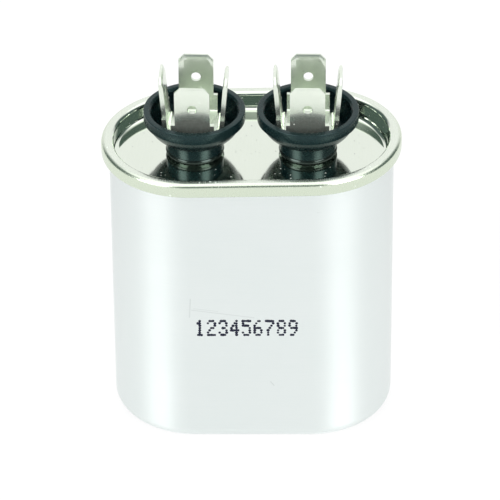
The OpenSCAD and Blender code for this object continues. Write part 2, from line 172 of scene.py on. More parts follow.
def sweep_tree(path: Path) -> bpy.types.NodeTree:
    """Builds the tree that sweeps a section round an obround or a circle.

    The section is the object's own edges, with x the distance from the middle line and y the
    height, less the guide radius in x.

    Args:
        path: which middle line the tree follows.

    Returns:
        A node group with the inputs Half run, Guide radius, Arc steps, Centre and Finish.
    """
    tree = bpy.data.node_groups.new(f"{path.value}_sweep", "GeometryNodeTree")
    face = tree.interface
    face.new_socket("Section", in_out="INPUT", socket_type="NodeSocketGeometry")
    for name, kind in (("Half run", "NodeSocketFloat"), ("Guide radius", "NodeSocketFloat"),
                       ("Arc steps", "NodeSocketInt"), ("Centre", "NodeSocketVector"),
                       ("Finish", "NodeSocketMaterial")):
        face.new_socket(name, in_out="INPUT", socket_type=kind)
    face.new_socket("Shell", in_out="OUTPUT", socket_type="NodeSocketGeometry")
    given = add_node(tree, "NodeGroupInput").outputs
    if path is Path.ROUND:
        guide = add_node(tree, "GeometryNodeCurvePrimitiveCircle",
                         links={"Resolution": given["Arc steps"], "Radius": given["Guide radius"]}).outputs["Curve"]
    else:
        ends = []
        for turn, sign in ((-math.pi / 2, 1.0), (math.pi / 2, -1.0)):
            half = add_node(tree, "GeometryNodeCurveArc", {"Start Angle": turn, "Sweep Angle": math.pi},
                            {"Resolution": given["Arc steps"], "Radius": given["Guide radius"]}, mode="RADIUS")
            across = add_node(tree, "ShaderNodeMath", {1: sign}, {0: given["Half run"]}, operation="MULTIPLY")
            shift = add_node(tree, "ShaderNodeCombineXYZ", links={"X": across.outputs[0]})
            ends.append(add_node(tree, "GeometryNodeTransform", links={
                "Geometry": half.outputs["Curve"], "Translation": shift.outputs[0]}).outputs[0])
        both = add_node(tree, "GeometryNodeJoinGeometry")
        for end in reversed(ends):
            tree.links.new(end, both.inputs[0])
        dots = add_node(tree, "GeometryNodeCurveToPoints", links={"Curve": both.outputs[0]}, mode="EVALUATED")
        line = add_node(tree, "GeometryNodePointsToCurves", links={"Points": dots.outputs["Points"]})
        guide = add_node(tree, "GeometryNodeSetSplineCyclic", {"Cyclic": True},
                         {"Geometry": line.outputs[0]}).outputs[0]
    upright = add_node(tree, "GeometryNodeSetCurveNormal", links={"Curve": guide}, mode="Z_UP")
    section = add_node(tree, "GeometryNodeMeshToCurve", links={"Mesh": given["Section"]})
    turned = add_node(tree, "GeometryNodeTransform", {"Rotation": (math.pi, 0, 0)},
                      {"Geometry": section.outputs[0]})
    skin = add_node(tree, "GeometryNodeCurveToMesh", links={
        "Curve": upright.outputs[0], "Profile Curve": turned.outputs[0]})
    placed = add_node(tree, "GeometryNodeTransform", links={
        "Geometry": skin.outputs[0], "Translation": given["Centre"]})
    closed = add_node(tree, "GeometryNodeMergeByDistance", {"Distance": 2e-6},
                      {"Geometry": placed.outputs[0]})
    real = add_node(tree, "GeometryNodeRealizeInstances", links={"Geometry": closed.outputs[0]})
    dressed = add_node(tree, "GeometryNodeSetMaterial", links={
        "Geometry": real.outputs[0], "Material": given["Finish"]})
    add_node(tree, "NodeGroupOutput", links={0: dressed.outputs[0]})
    return tree


def grown(name: str, seed: bpy.types.Mesh, tree: bpy.types.NodeTree, inputs: dict[str, object]) -> bpy.types.Mesh:
    """Runs a geometry tree on a mesh and keeps the result as a plain mesh.

    Args:
        name: name of the result.
        seed: mesh that the tree starts from.
        tree: geometry node group.
        inputs: values of the tree's named inputs.

    Returns:
        The evaluated mesh, with no modifier left.
    """
    holder = new_object(f"{name}_seed", seed)
    modifier = holder.modifiers.new("grow", "NODES")
    modifier.node_group = tree
    for item in tree.interface.items_tree:
        if item.in_out == "INPUT" and item.name in inputs:
            modifier[item.identifier] = inputs[item.name]
    bpy.context.view_layer.update()
    ready = holder.evaluated_get(bpy.context.evaluated_depsgraph_get())
    mesh = bpy.data.meshes.new_from_object(ready)
    mesh.name = name
    bpy.data.objects.remove(holder)
    return mesh


def section_mesh(points: list[Point], guide: float, closed: bool = True) -> bpy.types.Mesh:
    """Makes the edges of a section, moved in by the guide radius.

    Args:
        points: the section in metres, as distance from the middle line and height.
        guide: radius of the line that it is swept along.
        closed: whether the last point joins the first.

    Returns:
        A mesh of edges alone.
    """
    mesh = bpy.data.meshes.new("section")
    count = len(points)
    edges = [(i, (i + 1) % count) for i in range(count if closed else count - 1)]
    mesh.from_pydata([(x - guide, y, 0) for x, y in points], edges, [])
    return mesh


def tidy(mesh: bpy.types.Mesh, sharp: float = 32.0, merge: float = 5e-6) -> bpy.types.Mesh:
    """Closes a mesh, turns its faces outwards and shades it smooth between its sharp edges.

    Args:
        mesh: mesh to mend in place.
        sharp: angle in degrees from which an edge is shaded sharp.
        merge: distance in metres within which points become one.

    Returns:
        The same mesh.
    """
    work = bmesh.new()
    work.from_mesh(mesh)
    bmesh.ops.remove_doubles(work, verts=work.verts, dist=merge)
    bmesh.ops.dissolve_degenerate(work, edges=work.edges, dist=merge)
    bmesh.ops.recalc_face_normals(work, faces=work.faces)
    work.to_mesh(mesh)
    work.free()
    mesh.shade_smooth()
    mesh.set_sharp_from_angle(angle=math.radians(sharp))
    return mesh


def settled(work: bmesh.types.BMesh, digits: int = 4) -> bmesh.types.BMesh:
    """Puts points and faces in a fixed order, so that the faces of each run are split alike.

    Args:
        work: mesh whose order may change from run to run; it is freed.
        digits: decimals kept of each coordinate.

    Returns:
        The same shape in its fixed order.
    """
    places = {v: tuple(round(c, digits) for c in v.co) for v in work.verts}
    order = sorted(work.verts, key=places.get)
    rank = {v: i for i, v in enumerate(order)}
    rings = []
    for face in work.faces:
        ring = [rank[v] for v in face.verts]
        first = ring.index(min(ring))
        rings.append(ring[first:] + ring[:first])
    fixed = bmesh.new()
    points = [fixed.verts.new(places[v]) for v in order]
    for ring in sorted(rings):
        fixed.faces.new([points[i] for i in ring])
    work.free()
    return fixed


@dataclass(frozen=True)
class Swept:
    """A closed section swept round the obround or round a terminal's axis."""

    name: str
    section: list[Point]
    path: Path = Path.OBROUND
    half_run: float = 0.0
    centre: tuple[float, float, float] = (0.0, 0.0, 0.0)
    steps: int = 48
    closed: bool = True
    sharp: float = 32.0

    def mesh(self, finish: bpy.types.Material) -> bpy.types.Mesh:
        """Sweeps the section.

        Args:
            finish: material of the piece.

        Returns:
            The finished mesh in metres.
        """
        guide = max(x for x, _ in self.section)
        swept = grown(self.name, section_mesh(self.section, guide, self.closed), sweep_tree(self.path), {
            "Half run": self.half_run, "Guide radius": guide, "Centre": self.centre,
            "Arc steps": self.steps if self.path is Path.OBROUND else 2 * self.steps, "Finish": finish})
        return tidy(swept, self.sharp)


def lean_seam(mesh: bpy.types.Mesh, start: float, slope: float = 0.0167, ramp: float = 0.0007) -> None:
    """Sets the seam a little askew, higher on the right, as a seaming head leaves it.

    Args:
        mesh: the can or its cover, changed in place.
        start: height in metres above which it leans.
        slope: rise for each unit of x.
        ramp: height over which the lean comes in.
    """
    for vertex in mesh.vertices:
        share = min(max((vertex.co.z - start) / ramp, 0.0), 1.0)
        vertex.co.z += slope * vertex.co.x * share


def fit_out(piece: bpy.types.Object, slot: str, *nodes: str) -> bpy.types.Object:
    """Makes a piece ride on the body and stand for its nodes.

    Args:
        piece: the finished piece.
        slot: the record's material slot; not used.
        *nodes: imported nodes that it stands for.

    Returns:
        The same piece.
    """
    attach(piece, BODY)
    if nodes:
        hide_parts(*nodes)
    log.info("%s: %d faces, for %s", piece.name, len(piece.data.polygons), ", ".join(nodes) or "the looks alone")
    return piece


# ---- Finishes ----


@dataclass(frozen=True)
class Finish:
    """A surface: its colours, how it shines and the grain that it is made with.

    The grain is a noise on Object coordinates. Its size in millimetres along each axis comes
    from the way the surface was made, so a drawn sheet has long thin grain and a moulding short.
    """

    name: str
    colour: str
    shade: str
    metallic: float = 0.0
    rough: tuple[float, float] = (0.4, 0.5)
    grain_mm: tuple[float, float, float] = (0.5, 0.5, 0.5)
    mottle_mm: float = 8.0
    mottle: float = 0.5
    bump_mm: float = 0.0
    ior: float | None = None
    anisotropy: float = 0.0
    dust_mm: float = 0.0
    dust_gap_mm: float = 1.1
    dust_colour: str = "cdd5cd"
    gloss_tint: str = "ffffff"

    def material(self) -> bpy.types.Material:
        """Builds the material.

        Returns:
            The material with its nodes.
        """
        made = bpy.data.materials.new(self.name)
        made.use_nodes = True
        tree = made.node_tree
        tree.nodes.clear()
        place = add_node(tree, "ShaderNodeTexCoord").outputs["Object"]
        shader = add_node(tree, "ShaderNodeBsdfPrincipled", {"Metallic": self.metallic,
                                                             "Specular Tint": linear(self.gloss_tint)})
        if self.ior is not None:
            shader.inputs["IOR"].default_value = self.ior
        if self.anisotropy:
            shader.inputs["Anisotropic"].default_value = self.anisotropy
            shader.inputs["Anisotropic Rotation"].default_value = QUARTER_TURN
        grain = self.noise(tree, place, self.grain_mm, detail=4.0)
        mottle = self.noise(tree, place, (self.mottle_mm,) * 3, detail=2.0)
        blend = add_node(tree, "ShaderNodeMath", {1: self.mottle}, {0: mottle}, operation="MULTIPLY")
        both = add_node(tree, "ShaderNodeMath", {1: 1 - self.mottle}, {0: grain, 2: blend.outputs[0]},
                        operation="MULTIPLY_ADD")
        colour = add_node(tree, "ShaderNodeMix", {"A": linear(self.shade), "B": linear(self.colour)},
                          {"Factor": both.outputs[0]}, data_type="RGBA").outputs["Result"]
        rough = add_node(tree, "ShaderNodeMapRange", {"To Min": self.rough[0], "To Max": self.rough[1],
                                                      "From Min": 0.3, "From Max": 0.7},
                         {"Value": both.outputs[0]}).outputs[0]
        bump = None
        if self.bump_mm:
            bump = add_node(tree, "ShaderNodeBump", {"Distance": self.bump_mm * MM, "Strength": 1.0},
                            {"Height": grain}).outputs[0]
        self.dress(tree, shader, place, colour, rough, bump)
        add_node(tree, "ShaderNodeOutputMaterial", links={"Surface": shader.outputs[0]})
        return made

    def specks(self, tree: bpy.types.NodeTree, place: bpy.types.NodeSocket) -> bpy.types.NodeSocket:
        """Marks grains of dust, about one in each gap, of uneven size.

        Args:
            tree: the material's tree.
            place: Object coordinates.

        Returns:
            A socket that is 1 on a grain.
        """
        gap = self.dust_gap_mm * MM
        cells = add_node(tree, "ShaderNodeTexVoronoi", {"Scale": 1 / gap, "Randomness": 1.0}, {"Vector": place})
        lot = add_node(tree, "ShaderNodeSeparateXYZ", links={0: cells.outputs["Color"]}).outputs[0]
        uneven = add_node(tree, "ShaderNodeMath", {1: 2.0}, {0: lot}, operation="POWER").outputs[0]
        reach = add_node(tree, "ShaderNodeMath", {1: self.dust_mm / self.dust_gap_mm}, {0: uneven},
                         operation="MULTIPLY").outputs[0]
        return add_node(tree, "ShaderNodeMath", links={0: cells.outputs["Distance"], 1: reach},
                        operation="LESS_THAN").outputs[0]

    @staticmethod
    def noise(tree: bpy.types.NodeTree, place: bpy.types.NodeSocket, size_mm: tuple[float, float, float],
              detail: float = 2.0) -> bpy.types.NodeSocket:
        """Adds a noise whose features have a given size.

        Args:
            tree: the material's tree.
            place: coordinates in metres.
            size_mm: size of a feature along x, y and z.
            detail: finer octaves.

        Returns:
            The noise's value socket.
        """
        scale = tuple(1 / (s * MM) for s in size_mm)
        mapped = add_node(tree, "ShaderNodeMapping", {"Scale": scale}, {"Vector": place}).outputs[0]
        return add_node(tree, "ShaderNodeTexNoise", {"Scale": 1.0, "Detail": detail, "Roughness": 0.55},
                        {"Vector": mapped}).outputs[0]

    def dress(self, tree: bpy.types.NodeTree, shader: bpy.types.Node, place: bpy.types.NodeSocket,
              colour: bpy.types.NodeSocket, rough: bpy.types.NodeSocket, bump: bpy.types.NodeSocket | None) -> None:
        """Links the plain layers to the shader; a finish with more layers adds them here.

        Args:
            tree: the material's tree.
            shader: the Principled shader.
            place: Object coordinates.
            colour: colour so far.
            rough: roughness so far.
            bump: normal so far, if any.
        """
        if self.dust_mm:
            grain = self.specks(tree, place)
            colour = add_node(tree, "ShaderNodeMix", {"B": linear(self.dust_colour)}, {"Factor": grain, "A": colour},
                              data_type="RGBA").outputs["Result"]
            rough = add_node(tree, "ShaderNodeMath", links={0: rough, 1: grain}, operation="MAXIMUM").outputs[0]
            bare = add_node(tree, "ShaderNodeMath", {0: self.metallic}, {1: grain}, operation="SUBTRACT",
                            use_clamp=True)
            tree.links.new(bare.outputs[0], shader.inputs["Metallic"])
        tree.links.new(colour, shader.inputs["Base Color"])
        tree.links.new(rough, shader.inputs["Roughness"])
        if bump is not None:
            tree.links.new(bump, shader.inputs["Normal"])


@dataclass(frozen=True)
class Scuff:
    """A hairline scratch on the can, from one place to another, in millimetres."""

    start: tuple[float, float, float]
    end: tuple[float, float, float]
    width: float
    depth: float

    def mask(self, tree: bpy.types.NodeTree, place: bpy.types.NodeSocket) -> bpy.types.NodeSocket:
        """Marks the scratch, strongest along its middle.

        Args:
            tree: the material's tree.
            place: Object coordinates.

        Returns:
            A socket from 0 beside the scratch to its depth along it.
        """
        start, end = Vector(self.start) * MM, Vector(self.end) * MM
        way = end - start
        off = add_node(tree, "ShaderNodeVectorMath", {1: start}, {0: place}, operation="SUBTRACT").outputs[0]
        share = add_node(tree, "ShaderNodeVectorMath", {1: way / way.length_squared}, {0: off},
                         operation="DOT_PRODUCT").outputs["Value"]
        kept = add_node(tree, "ShaderNodeClamp", links={0: share}).outputs[0]
        foot = add_node(tree, "ShaderNodeVectorMath", {0: way}, {"Scale": kept}, operation="SCALE").outputs[0]
        gap = add_node(tree, "ShaderNodeVectorMath", links={0: off, 1: foot}, operation="DISTANCE").outputs["Value"]
        return add_node(tree, "ShaderNodeMapRange", {"From Min": self.width * MM / 2, "From Max": 0.0,
                                                     "To Max": self.depth}, {"Value": gap}).outputs[0]


@dataclass(frozen=True)
class Aluminium(Finish):
    """Drawn aluminium: fine lines run round the can, so its gloss is drawn out up and down."""

    scuffs: tuple[Scuff, ...] = ()
    scuff_colour: str = "8f9896"

    def dress(self, tree: bpy.types.NodeTree, shader: bpy.types.Node, place: bpy.types.NodeSocket,
              colour: bpy.types.NodeSocket, rough: bpy.types.NodeSocket, bump: bpy.types.NodeSocket | None) -> None:
        """Adds the scratches and turns the stretched gloss upright. Args are those of Finish.dress."""
        for scuff in self.scuffs:
            colour = add_node(tree, "ShaderNodeMix", {"B": linear(self.scuff_colour)},
                              {"Factor": scuff.mask(tree, place), "A": colour}, data_type="RGBA").outputs["Result"]
        super().dress(tree, shader, place, colour, rough, bump)
        along = add_node(tree, "ShaderNodeTangent", direction_type="RADIAL", axis="Z")
        tree.links.new(along.outputs[0], shader.inputs["Tangent"])


@dataclass(frozen=True)
class Tinplate(Finish):
    """Bright tinplate: a mirror on the deck, dulled outside where the seaming rolls pressed it, with painted shade on
    the seam's outer wall as a darker cream tint.
    """

    rolled_rough: float = 0.20
    # Painted shade: darker cream colour of the seam's outer wall, which faces the floor rather than the bright
    # overhead.
    painted_wall_shade_tint: str = "d6e0cd"
    half_run_mm: float = 10.75
    rolled_from_mm: float = 14.5
    rolled_to_mm: float = 15.3
    painted_shade_from_mm: float = 15.9
    painted_shade_to_mm: float = 16.55
    wall_from_mm: float = 54.5
    wall_to_mm: float = 55.2
    ripple_mm: float = 1.8
    ripple_deep_mm: float = 0.02

    def dress(self, tree: bpy.types.NodeTree, shader: bpy.types.Node, place: bpy.types.NodeSocket,
              colour: bpy.types.NodeSocket, rough: bpy.types.NodeSocket, bump: bpy.types.NodeSocket | None) -> None:
        """Roughens the seam outside the can's wall and paints shade on its outer wall as a darker cream tint. Args are
        those of Finish.dress.
        """
        parts = add_node(tree, "ShaderNodeSeparateXYZ", links={0: place}).outputs
        side = add_node(tree, "ShaderNodeMath", links={0: parts["X"]}, operation="ABSOLUTE").outputs[0]
        past = add_node(tree, "ShaderNodeMath", {1: self.half_run_mm * MM}, {0: side}, operation="SUBTRACT",
                        use_clamp=True).outputs[0]
        flat = add_node(tree, "ShaderNodeCombineXYZ", links={"X": past, "Y": parts["Y"]}).outputs[0]
        out = add_node(tree, "ShaderNodeVectorMath", links={0: flat}, operation="LENGTH").outputs["Value"]
        rolled = add_node(tree, "ShaderNodeMapRange", {
            "From Min": self.rolled_from_mm * MM, "From Max": self.rolled_to_mm * MM}, {"Value": out}).outputs[0]
        dull = add_node(tree, "ShaderNodeMath", {1: self.rolled_rough}, {0: rolled, 2: rough},
                        operation="MULTIPLY_ADD").outputs[0]
        # Painted shade: the seam's outer wall takes the darker cream tint.
        outer = add_node(tree, "ShaderNodeMapRange", {
            "From Min": self.painted_shade_from_mm * MM, "From Max": self.painted_shade_to_mm * MM}, {"Value": out}).outputs[0]
        tint = add_node(tree, "ShaderNodeMix", {"B": linear(self.painted_wall_shade_tint)}, {"Factor": outer, "A": colour},
                        data_type="RGBA").outputs["Result"]
        wall = add_node(tree, "ShaderNodeMapRange", {
            "From Min": self.wall_from_mm * MM, "From Max": self.wall_to_mm * MM}, {"Value": parts["Z"]}).outputs[0]
        wave = self.noise(tree, place, (self.ripple_mm, self.ripple_mm, 14.0), detail=1.0)
        ripple = add_node(tree, "ShaderNodeBump", {"Distance": self.ripple_deep_mm * MM},
                          {"Height": wave, "Strength": wall, "Normal": bump}).outputs[0]
        super().dress(tree, shader, place, tint, dull, ripple)


FINISHES: dict[str, Finish] = {
    # Drawn aluminium: pale and satin, with fine lines round the can and a soft mottle.
    "can_aluminium": Aluminium("drawn_aluminium", "eff4f3", "e4ecea", 1.0, (0.32, 0.345),
                               (6.0, 6.0, 0.12), 14.0, 0.6, 0.0, None, 0.8, scuffs=(
                                   Scuff((-11.2, -15.25, 32.0), (-11.4, -15.25, 28.0), 0.35, 0.22),
                                   Scuff((-11.0, -15.25, 29.6), (0.4, -15.25, 27.9), 0.3, 0.2),
                                   Scuff((-10.6, -15.25, 29.9), (-6.2, -15.25, 29.3), 0.25, 0.15),
                                   Scuff((3.4, -15.25, 13.4), (4.0, -15.25, 12.6), 0.35, 0.25),
                                   Scuff((12.0, -15.25, 51.0), (17.0, -15.25, 51.2), 0.3, 0.18))),
    # Bright tinplate: near mirror, with fine streaks from rolling across the cover.
    "cover_tinplate": Tinplate("bright_tinplate", "e9efe5", "dfe7da", 1.0, (0.05, 0.09),
                               (0.16, 5.0, 2.0), 9.0, 0.4, 0.0004, dust_mm=0.16, dust_gap_mm=0.9),
    # Cured sealing compound: dull and nearly black.
    "compound_rubber": Finish("sealing_compound", "2a2d2c", "1c1e1e", 0.0, (0.6, 0.75), (0.3,) * 3, 4.0, 0.5, 0.01),
    # Pressed gasket rubber: smooth, black, a low sheen.
    "gasket_rubber": Finish("gasket_rubber", "0d1413", "080d0c", 0.0, (0.16, 0.22), (0.25,) * 3, 3.0, 0.5, 0.001, 1.6,
                            gloss_tint="dcf6ec"),
    # Compression moulded phenolic: blue-black, with an even gloss.
    "cup_phenolic": Finish("moulded_phenolic", "0a1b1d", "061315", 0.0, (0.22, 0.32), (0.35,) * 3, 5.0, 0.5,
                           0.0015, 1.46, gloss_tint="c8eeea"),
    # Tin plated brass strip: satin, its grain runs with the strip.
    "blade_tin": Finish("tin_plated_strip", "e8eee4", "d8e1d3", 0.91, (0.20, 0.26), (0.5, 0.5, 1.2), 3.0, 0.6, 0.0006,
                        dust_mm=0.12, dust_gap_mm=1.3),
    "rivet_tin": Finish("tin_plated_rivet", "dfe6d8", "ccd4c4", 1.0, (0.20, 0.32), (0.3,) * 3, 2.0, 0.5, 0.003),
    # Marking ink: a thin matt film of navy black.
    "marking_ink": Finish("marking_ink", "12162c", "0a0d1c", 0.0, (0.6, 0.7), (0.08,) * 3, 0.6, 0.5, 0.0, 1.35),
    # Sealed inside the can: plain industrial stock.
    "bushing_phenolic": Finish("brown_phenolic", "6a4128", "4d2c1b", 0.0, (0.4, 0.55), (0.4,) * 3, 4.0, 0.5, 0.01,
                               1.58),
    "board_phenolic": Finish("paper_laminate", "a47a45", "8a6334", 0.0, (0.5, 0.65), (1.6, 0.35, 0.3), 5.0, 0.5, 0.01),
    "lug_brass": Finish("stamped_brass", "d8bd78", "c2a45c", 1.0, (0.24, 0.36), (1.2, 0.2, 0.2), 3.0, 0.5, 0.003),
    "lead_sleeve": Finish("vinyl_sleeve", "8e1f1b", "741714", 0.0, (0.35, 0.45), (0.5,) * 3, 3.0, 0.5, 0.004),
    "insulator_pp": Finish("natural_polypropylene", "dcdacb", "cbc8b6", 0.0, (0.4, 0.5), (0.6,) * 3, 6.0, 0.5, 0.006),
    "spray_zinc": Finish("flame_sprayed_zinc", "9a9ea0", "6e7376", 0.8, (0.6, 0.8), (0.16,) * 3, 2.0, 0.3, 0.08),
    "film_roll": Finish("metallised_film_roll", "cfcab0", "aaa68e", 0.4, (0.3, 0.45), (4.0, 4.0, 0.10), 6.0, 0.3, 0.01),
    "core_plastic": Finish("plastic_core_tube", "e3e3e0", "d0d1cd", 0.0, (0.4, 0.5), (0.5,) * 3, 5.0, 0.5, 0.004),
    "wrap_film": Finish("kraft_wrap", "b08a52", "94713f", 0.0, (0.45, 0.6), (0.4, 0.4, 2.0), 7.0, 0.5, 0.006),
}


class Bench:
    """Holds the materials, each built once."""

    def __init__(self) -> None:
        """Starts with no material built."""
        self.made: dict[str, bpy.types.Material] = {}

    def __getitem__(self, slot: str) -> bpy.types.Material:
        """The material of a slot, built when first asked for."""
        if slot not in self.made:
            self.made[slot] = FINISHES[slot].material()
        return self.made[slot]


# ---- The capacitor's sub-assemblies ----


@dataclass
class Sheets:
    """Sizes that the can and its cover share, in millimetres."""

    can_l: float = 52.0
    can_w: float = 30.5
    can_h: float = 57.9
    can_wall: float = 0.45
    can_edge_r: float = 2.6
    seam_h: float = 2.8
    cover_sheet: float = 0.35
    seam_gap: float = 0.08
    seam_edge_r: float = 0.75
    fold_edge_r: float = 0.55
    flange_edge_r: float = 0.5
    compound_t: float = 0.2
    hook_relief: float = 0.25
    deck_depth: float = 3.5
    deck_fillet_r: float = 0.9
    terminal_pitch: float = 20.6

    def __post_init__(self) -> None:
        """Works out the layers of the seam from the sizes."""
        self.half_run = (self.can_l - self.can_w) / 2
        self.can_r = self.can_w / 2
        self.bore_r = self.can_r - self.can_wall
        self.chuck_r = self.bore_r - self.seam_gap - self.cover_sheet
        self.hook_r = self.can_r + self.seam_gap
        self.flange_out = self.hook_r + self.cover_sheet + self.seam_gap + self.can_wall
        self.skin_r = self.flange_out + self.seam_gap + self.cover_sheet
        self.seam_z = self.can_h - self.seam_h
        self.flange_top = self.can_h - self.cover_sheet - self.compound_t
        self.flange_end = self.seam_z + self.cover_sheet + self.seam_gap
        self.hook_end = self.flange_top - self.can_wall - self.hook_relief
        self.deck_z = self.can_h - self.deck_depth


@dataclass
class Can:
    """The drawn can, with its flange hooked inside the seam."""

    sheets: Sheets = field(default_factory=Sheets)

    def section(self) -> list[Point]:
        """Closed section of the can's wall, base and flange, in millimetres."""
        s = self.sheets
        low = (s.can_r - s.can_edge_r, s.can_edge_r)
        tight = s.flange_edge_r - s.can_wall
        crown = s.flange_top - s.flange_edge_r
        return [(0, 0),
                *arc(low, s.can_edge_r, -90, 0, 14),
                *arc((s.can_r + tight, crown), tight, 180, 90, 2),
                *arc((s.flange_out - s.can_wall - tight, crown), tight, 90, 0, 2),
                (s.flange_out - s.can_wall, s.flange_end), (s.flange_out, s.flange_end),
                *arc((s.flange_out - s.flange_edge_r, crown), s.flange_edge_r, 0, 90, 6),
                *arc((s.bore_r + s.flange_edge_r, crown), s.flange_edge_r, 90, 180, 6),
                *arc(low, s.can_edge_r - s.can_wall, 0, -90, 10),
                (0, s.can_wall)]

    def build(self, bench: Bench) -> bpy.types.Object:
        """Builds and dresses the can.

        Args:
            bench: the materials.

        Returns:
            The can's shell.
        """
        section = [(x * MM, y * MM) for x, y in self.section()]
        mesh = Swept("can_shell", section, half_run=self.sheets.half_run * MM, steps=64,
                     closed=False).mesh(bench["can_aluminium"])
        lean_seam(mesh, self.sheets.deck_z * MM)
        return fit_out(new_object("can_shell", mesh), "can_aluminium", "case")


@dataclass
class Cover:
    """The tinplate cover: sunk deck, chuck wall and the skin and hook of the double seam."""

    sheets: Sheets = field(default_factory=Sheets)
    bore_d: float = 6.6
    bore_steps: int = 48

    def section(self) -> list[Point]:
        """Open section from the deck's top edge over the seam and back to the deck's underside."""
        s = self.sheets
        t = s.cover_sheet
        foot = (s.chuck_r - s.deck_fillet_r, s.deck_z + s.deck_fillet_r)
        edge, fold = s.seam_edge_r, s.fold_edge_r
        top, low = s.can_h - edge, s.seam_z + fold
        return [*arc(foot, s.deck_fillet_r, -90, 0, 8),
                *arc((s.chuck_r + edge, top), edge, 180, 90, 8),
                *arc((s.skin_r - edge, top), edge, 90, 0, 8),
                *arc((s.skin_r - fold, low), fold, 0, -90, 6),
                *arc((s.hook_r + fold, low), fold, -90, -180, 6),
                (s.hook_r, s.hook_end), (s.hook_r + t, s.hook_end),
                *arc((s.hook_r + fold, low), fold - t, -180, -90, 4),
                *arc((s.skin_r - fold, low), fold - t, -90, 0, 4),
                *arc((s.skin_r - edge, top), edge - t, 0, 90, 6),
                *arc((s.chuck_r + edge, top), edge - t, 90, 180, 6),
                *arc(foot, s.deck_fillet_r + t, 0, -90, 8)]

    def deck(self, radius: float, height: float, steps: int, upward: bool) -> bpy.types.Mesh:
        """Makes one face of the deck with its two bores.

        Args:
            radius: half width of the deck's obround, in metres.
            height: its height, in metres.
            steps: chords in each round end, as in the swept part.
            upward: whether it faces up.

        Returns:
            A flat mesh.
        """
        s = self.sheets
        run = s.half_run * MM
        right = arc((run, 0), radius, -90, 90, steps)
        left = arc((-run, 0), radius, 90, 270, steps)
        loops = [right + left]
        for side in (-1, 1):
            loops.append(arc((side * s.terminal_pitch / 2 * MM, 0), self.bore_d / 2 * MM, 0, 360,
                             self.bore_steps)[:-1])
        work = bmesh.new()
        edges = []
        for loop in loops:
            ring = [work.verts.new((x, y, height)) for x, y in loop]
            edges += [work.edges.new((ring[i - 1], ring[i])) for i in range(len(ring))]
        bmesh.ops.triangle_fill(work, use_beauty=True, edges=edges)
        for face in work.faces:
            face.normal_update()
            if (face.normal.z > 0) != upward:
                face.normal_flip()
        mesh = bpy.data.meshes.new("deck")
        work.to_mesh(mesh)
        work.free()
        return mesh

    def build(self, bench: Bench) -> bpy.types.Object:
        """Builds and dresses the cover.

        Args:
            bench: the materials.

        Returns:
            The cover's shell.
        """
        s = self.sheets
        steps = 64
        section = [(x * MM, y * MM) for x, y in self.section()]
        seam = Swept("cover_shell", section, half_run=s.half_run * MM, steps=steps, closed=False)
        rim = seam.mesh(bench["cover_tinplate"])
        radius = (s.chuck_r - s.deck_fillet_r) * MM
        top = self.deck(radius, s.deck_z * MM, steps - 1, True)
        under = self.deck(radius, (s.deck_z - s.cover_sheet) * MM, steps - 1, False)
        work = bmesh.new()
        for part in (rim, top, under):
            work.from_mesh(part)
        for side in (-1, 1):
            loop = arc((side * s.terminal_pitch / 2 * MM, 0), self.bore_d / 2 * MM, 0, 360, self.bore_steps)[:-1]
            rings = [[work.verts.new((x, y, z * MM)) for x, y in loop] for z in (s.deck_z, s.deck_z - s.cover_sheet)]
            for i in range(len(loop)):
                work.faces.new((rings[0][i - 1], rings[0][i], rings[1][i], rings[1][i - 1]))
        work.to_mesh(rim)
        work.free()
        tidy(rim, merge=4.5e-5)
        lean_seam(rim, s.deck_z * MM)
        for face in rim.polygons:
            face.material_index = 0
        return fit_out(new_object("cover_shell", rim), "cover_tinplate", "cover")


@dataclass
class Bead:
    """The sealing compound between the can's flange and the top of the seam."""

    sheets: Sheets = field(default_factory=Sheets)

    def build(self, bench: Bench) -> bpy.types.Object:
        """Builds and dresses the bead.

        Args:
            bench: the materials.

        Returns:
            The bead.
        """
        s = self.sheets
        low, high = s.flange_top, s.flange_top + s.compound_t
        inner, outer = s.bore_r + s.can_wall, s.flange_out - s.can_wall
        section = soften([(inner, low, 0.03), (outer, low, 0.03), (outer, high, 0.03), (inner, high, 0.03)], 2)
        mesh = Swept("seam_bead", [(x * MM, y * MM) for x, y in section], half_run=s.half_run * MM,
                     steps=48).mesh(bench["compound_rubber"])
        lean_seam(mesh, s.deck_z * MM)
        return fit_out(new_object("seam_bead", mesh), "compound_rubber", "seam_compound")


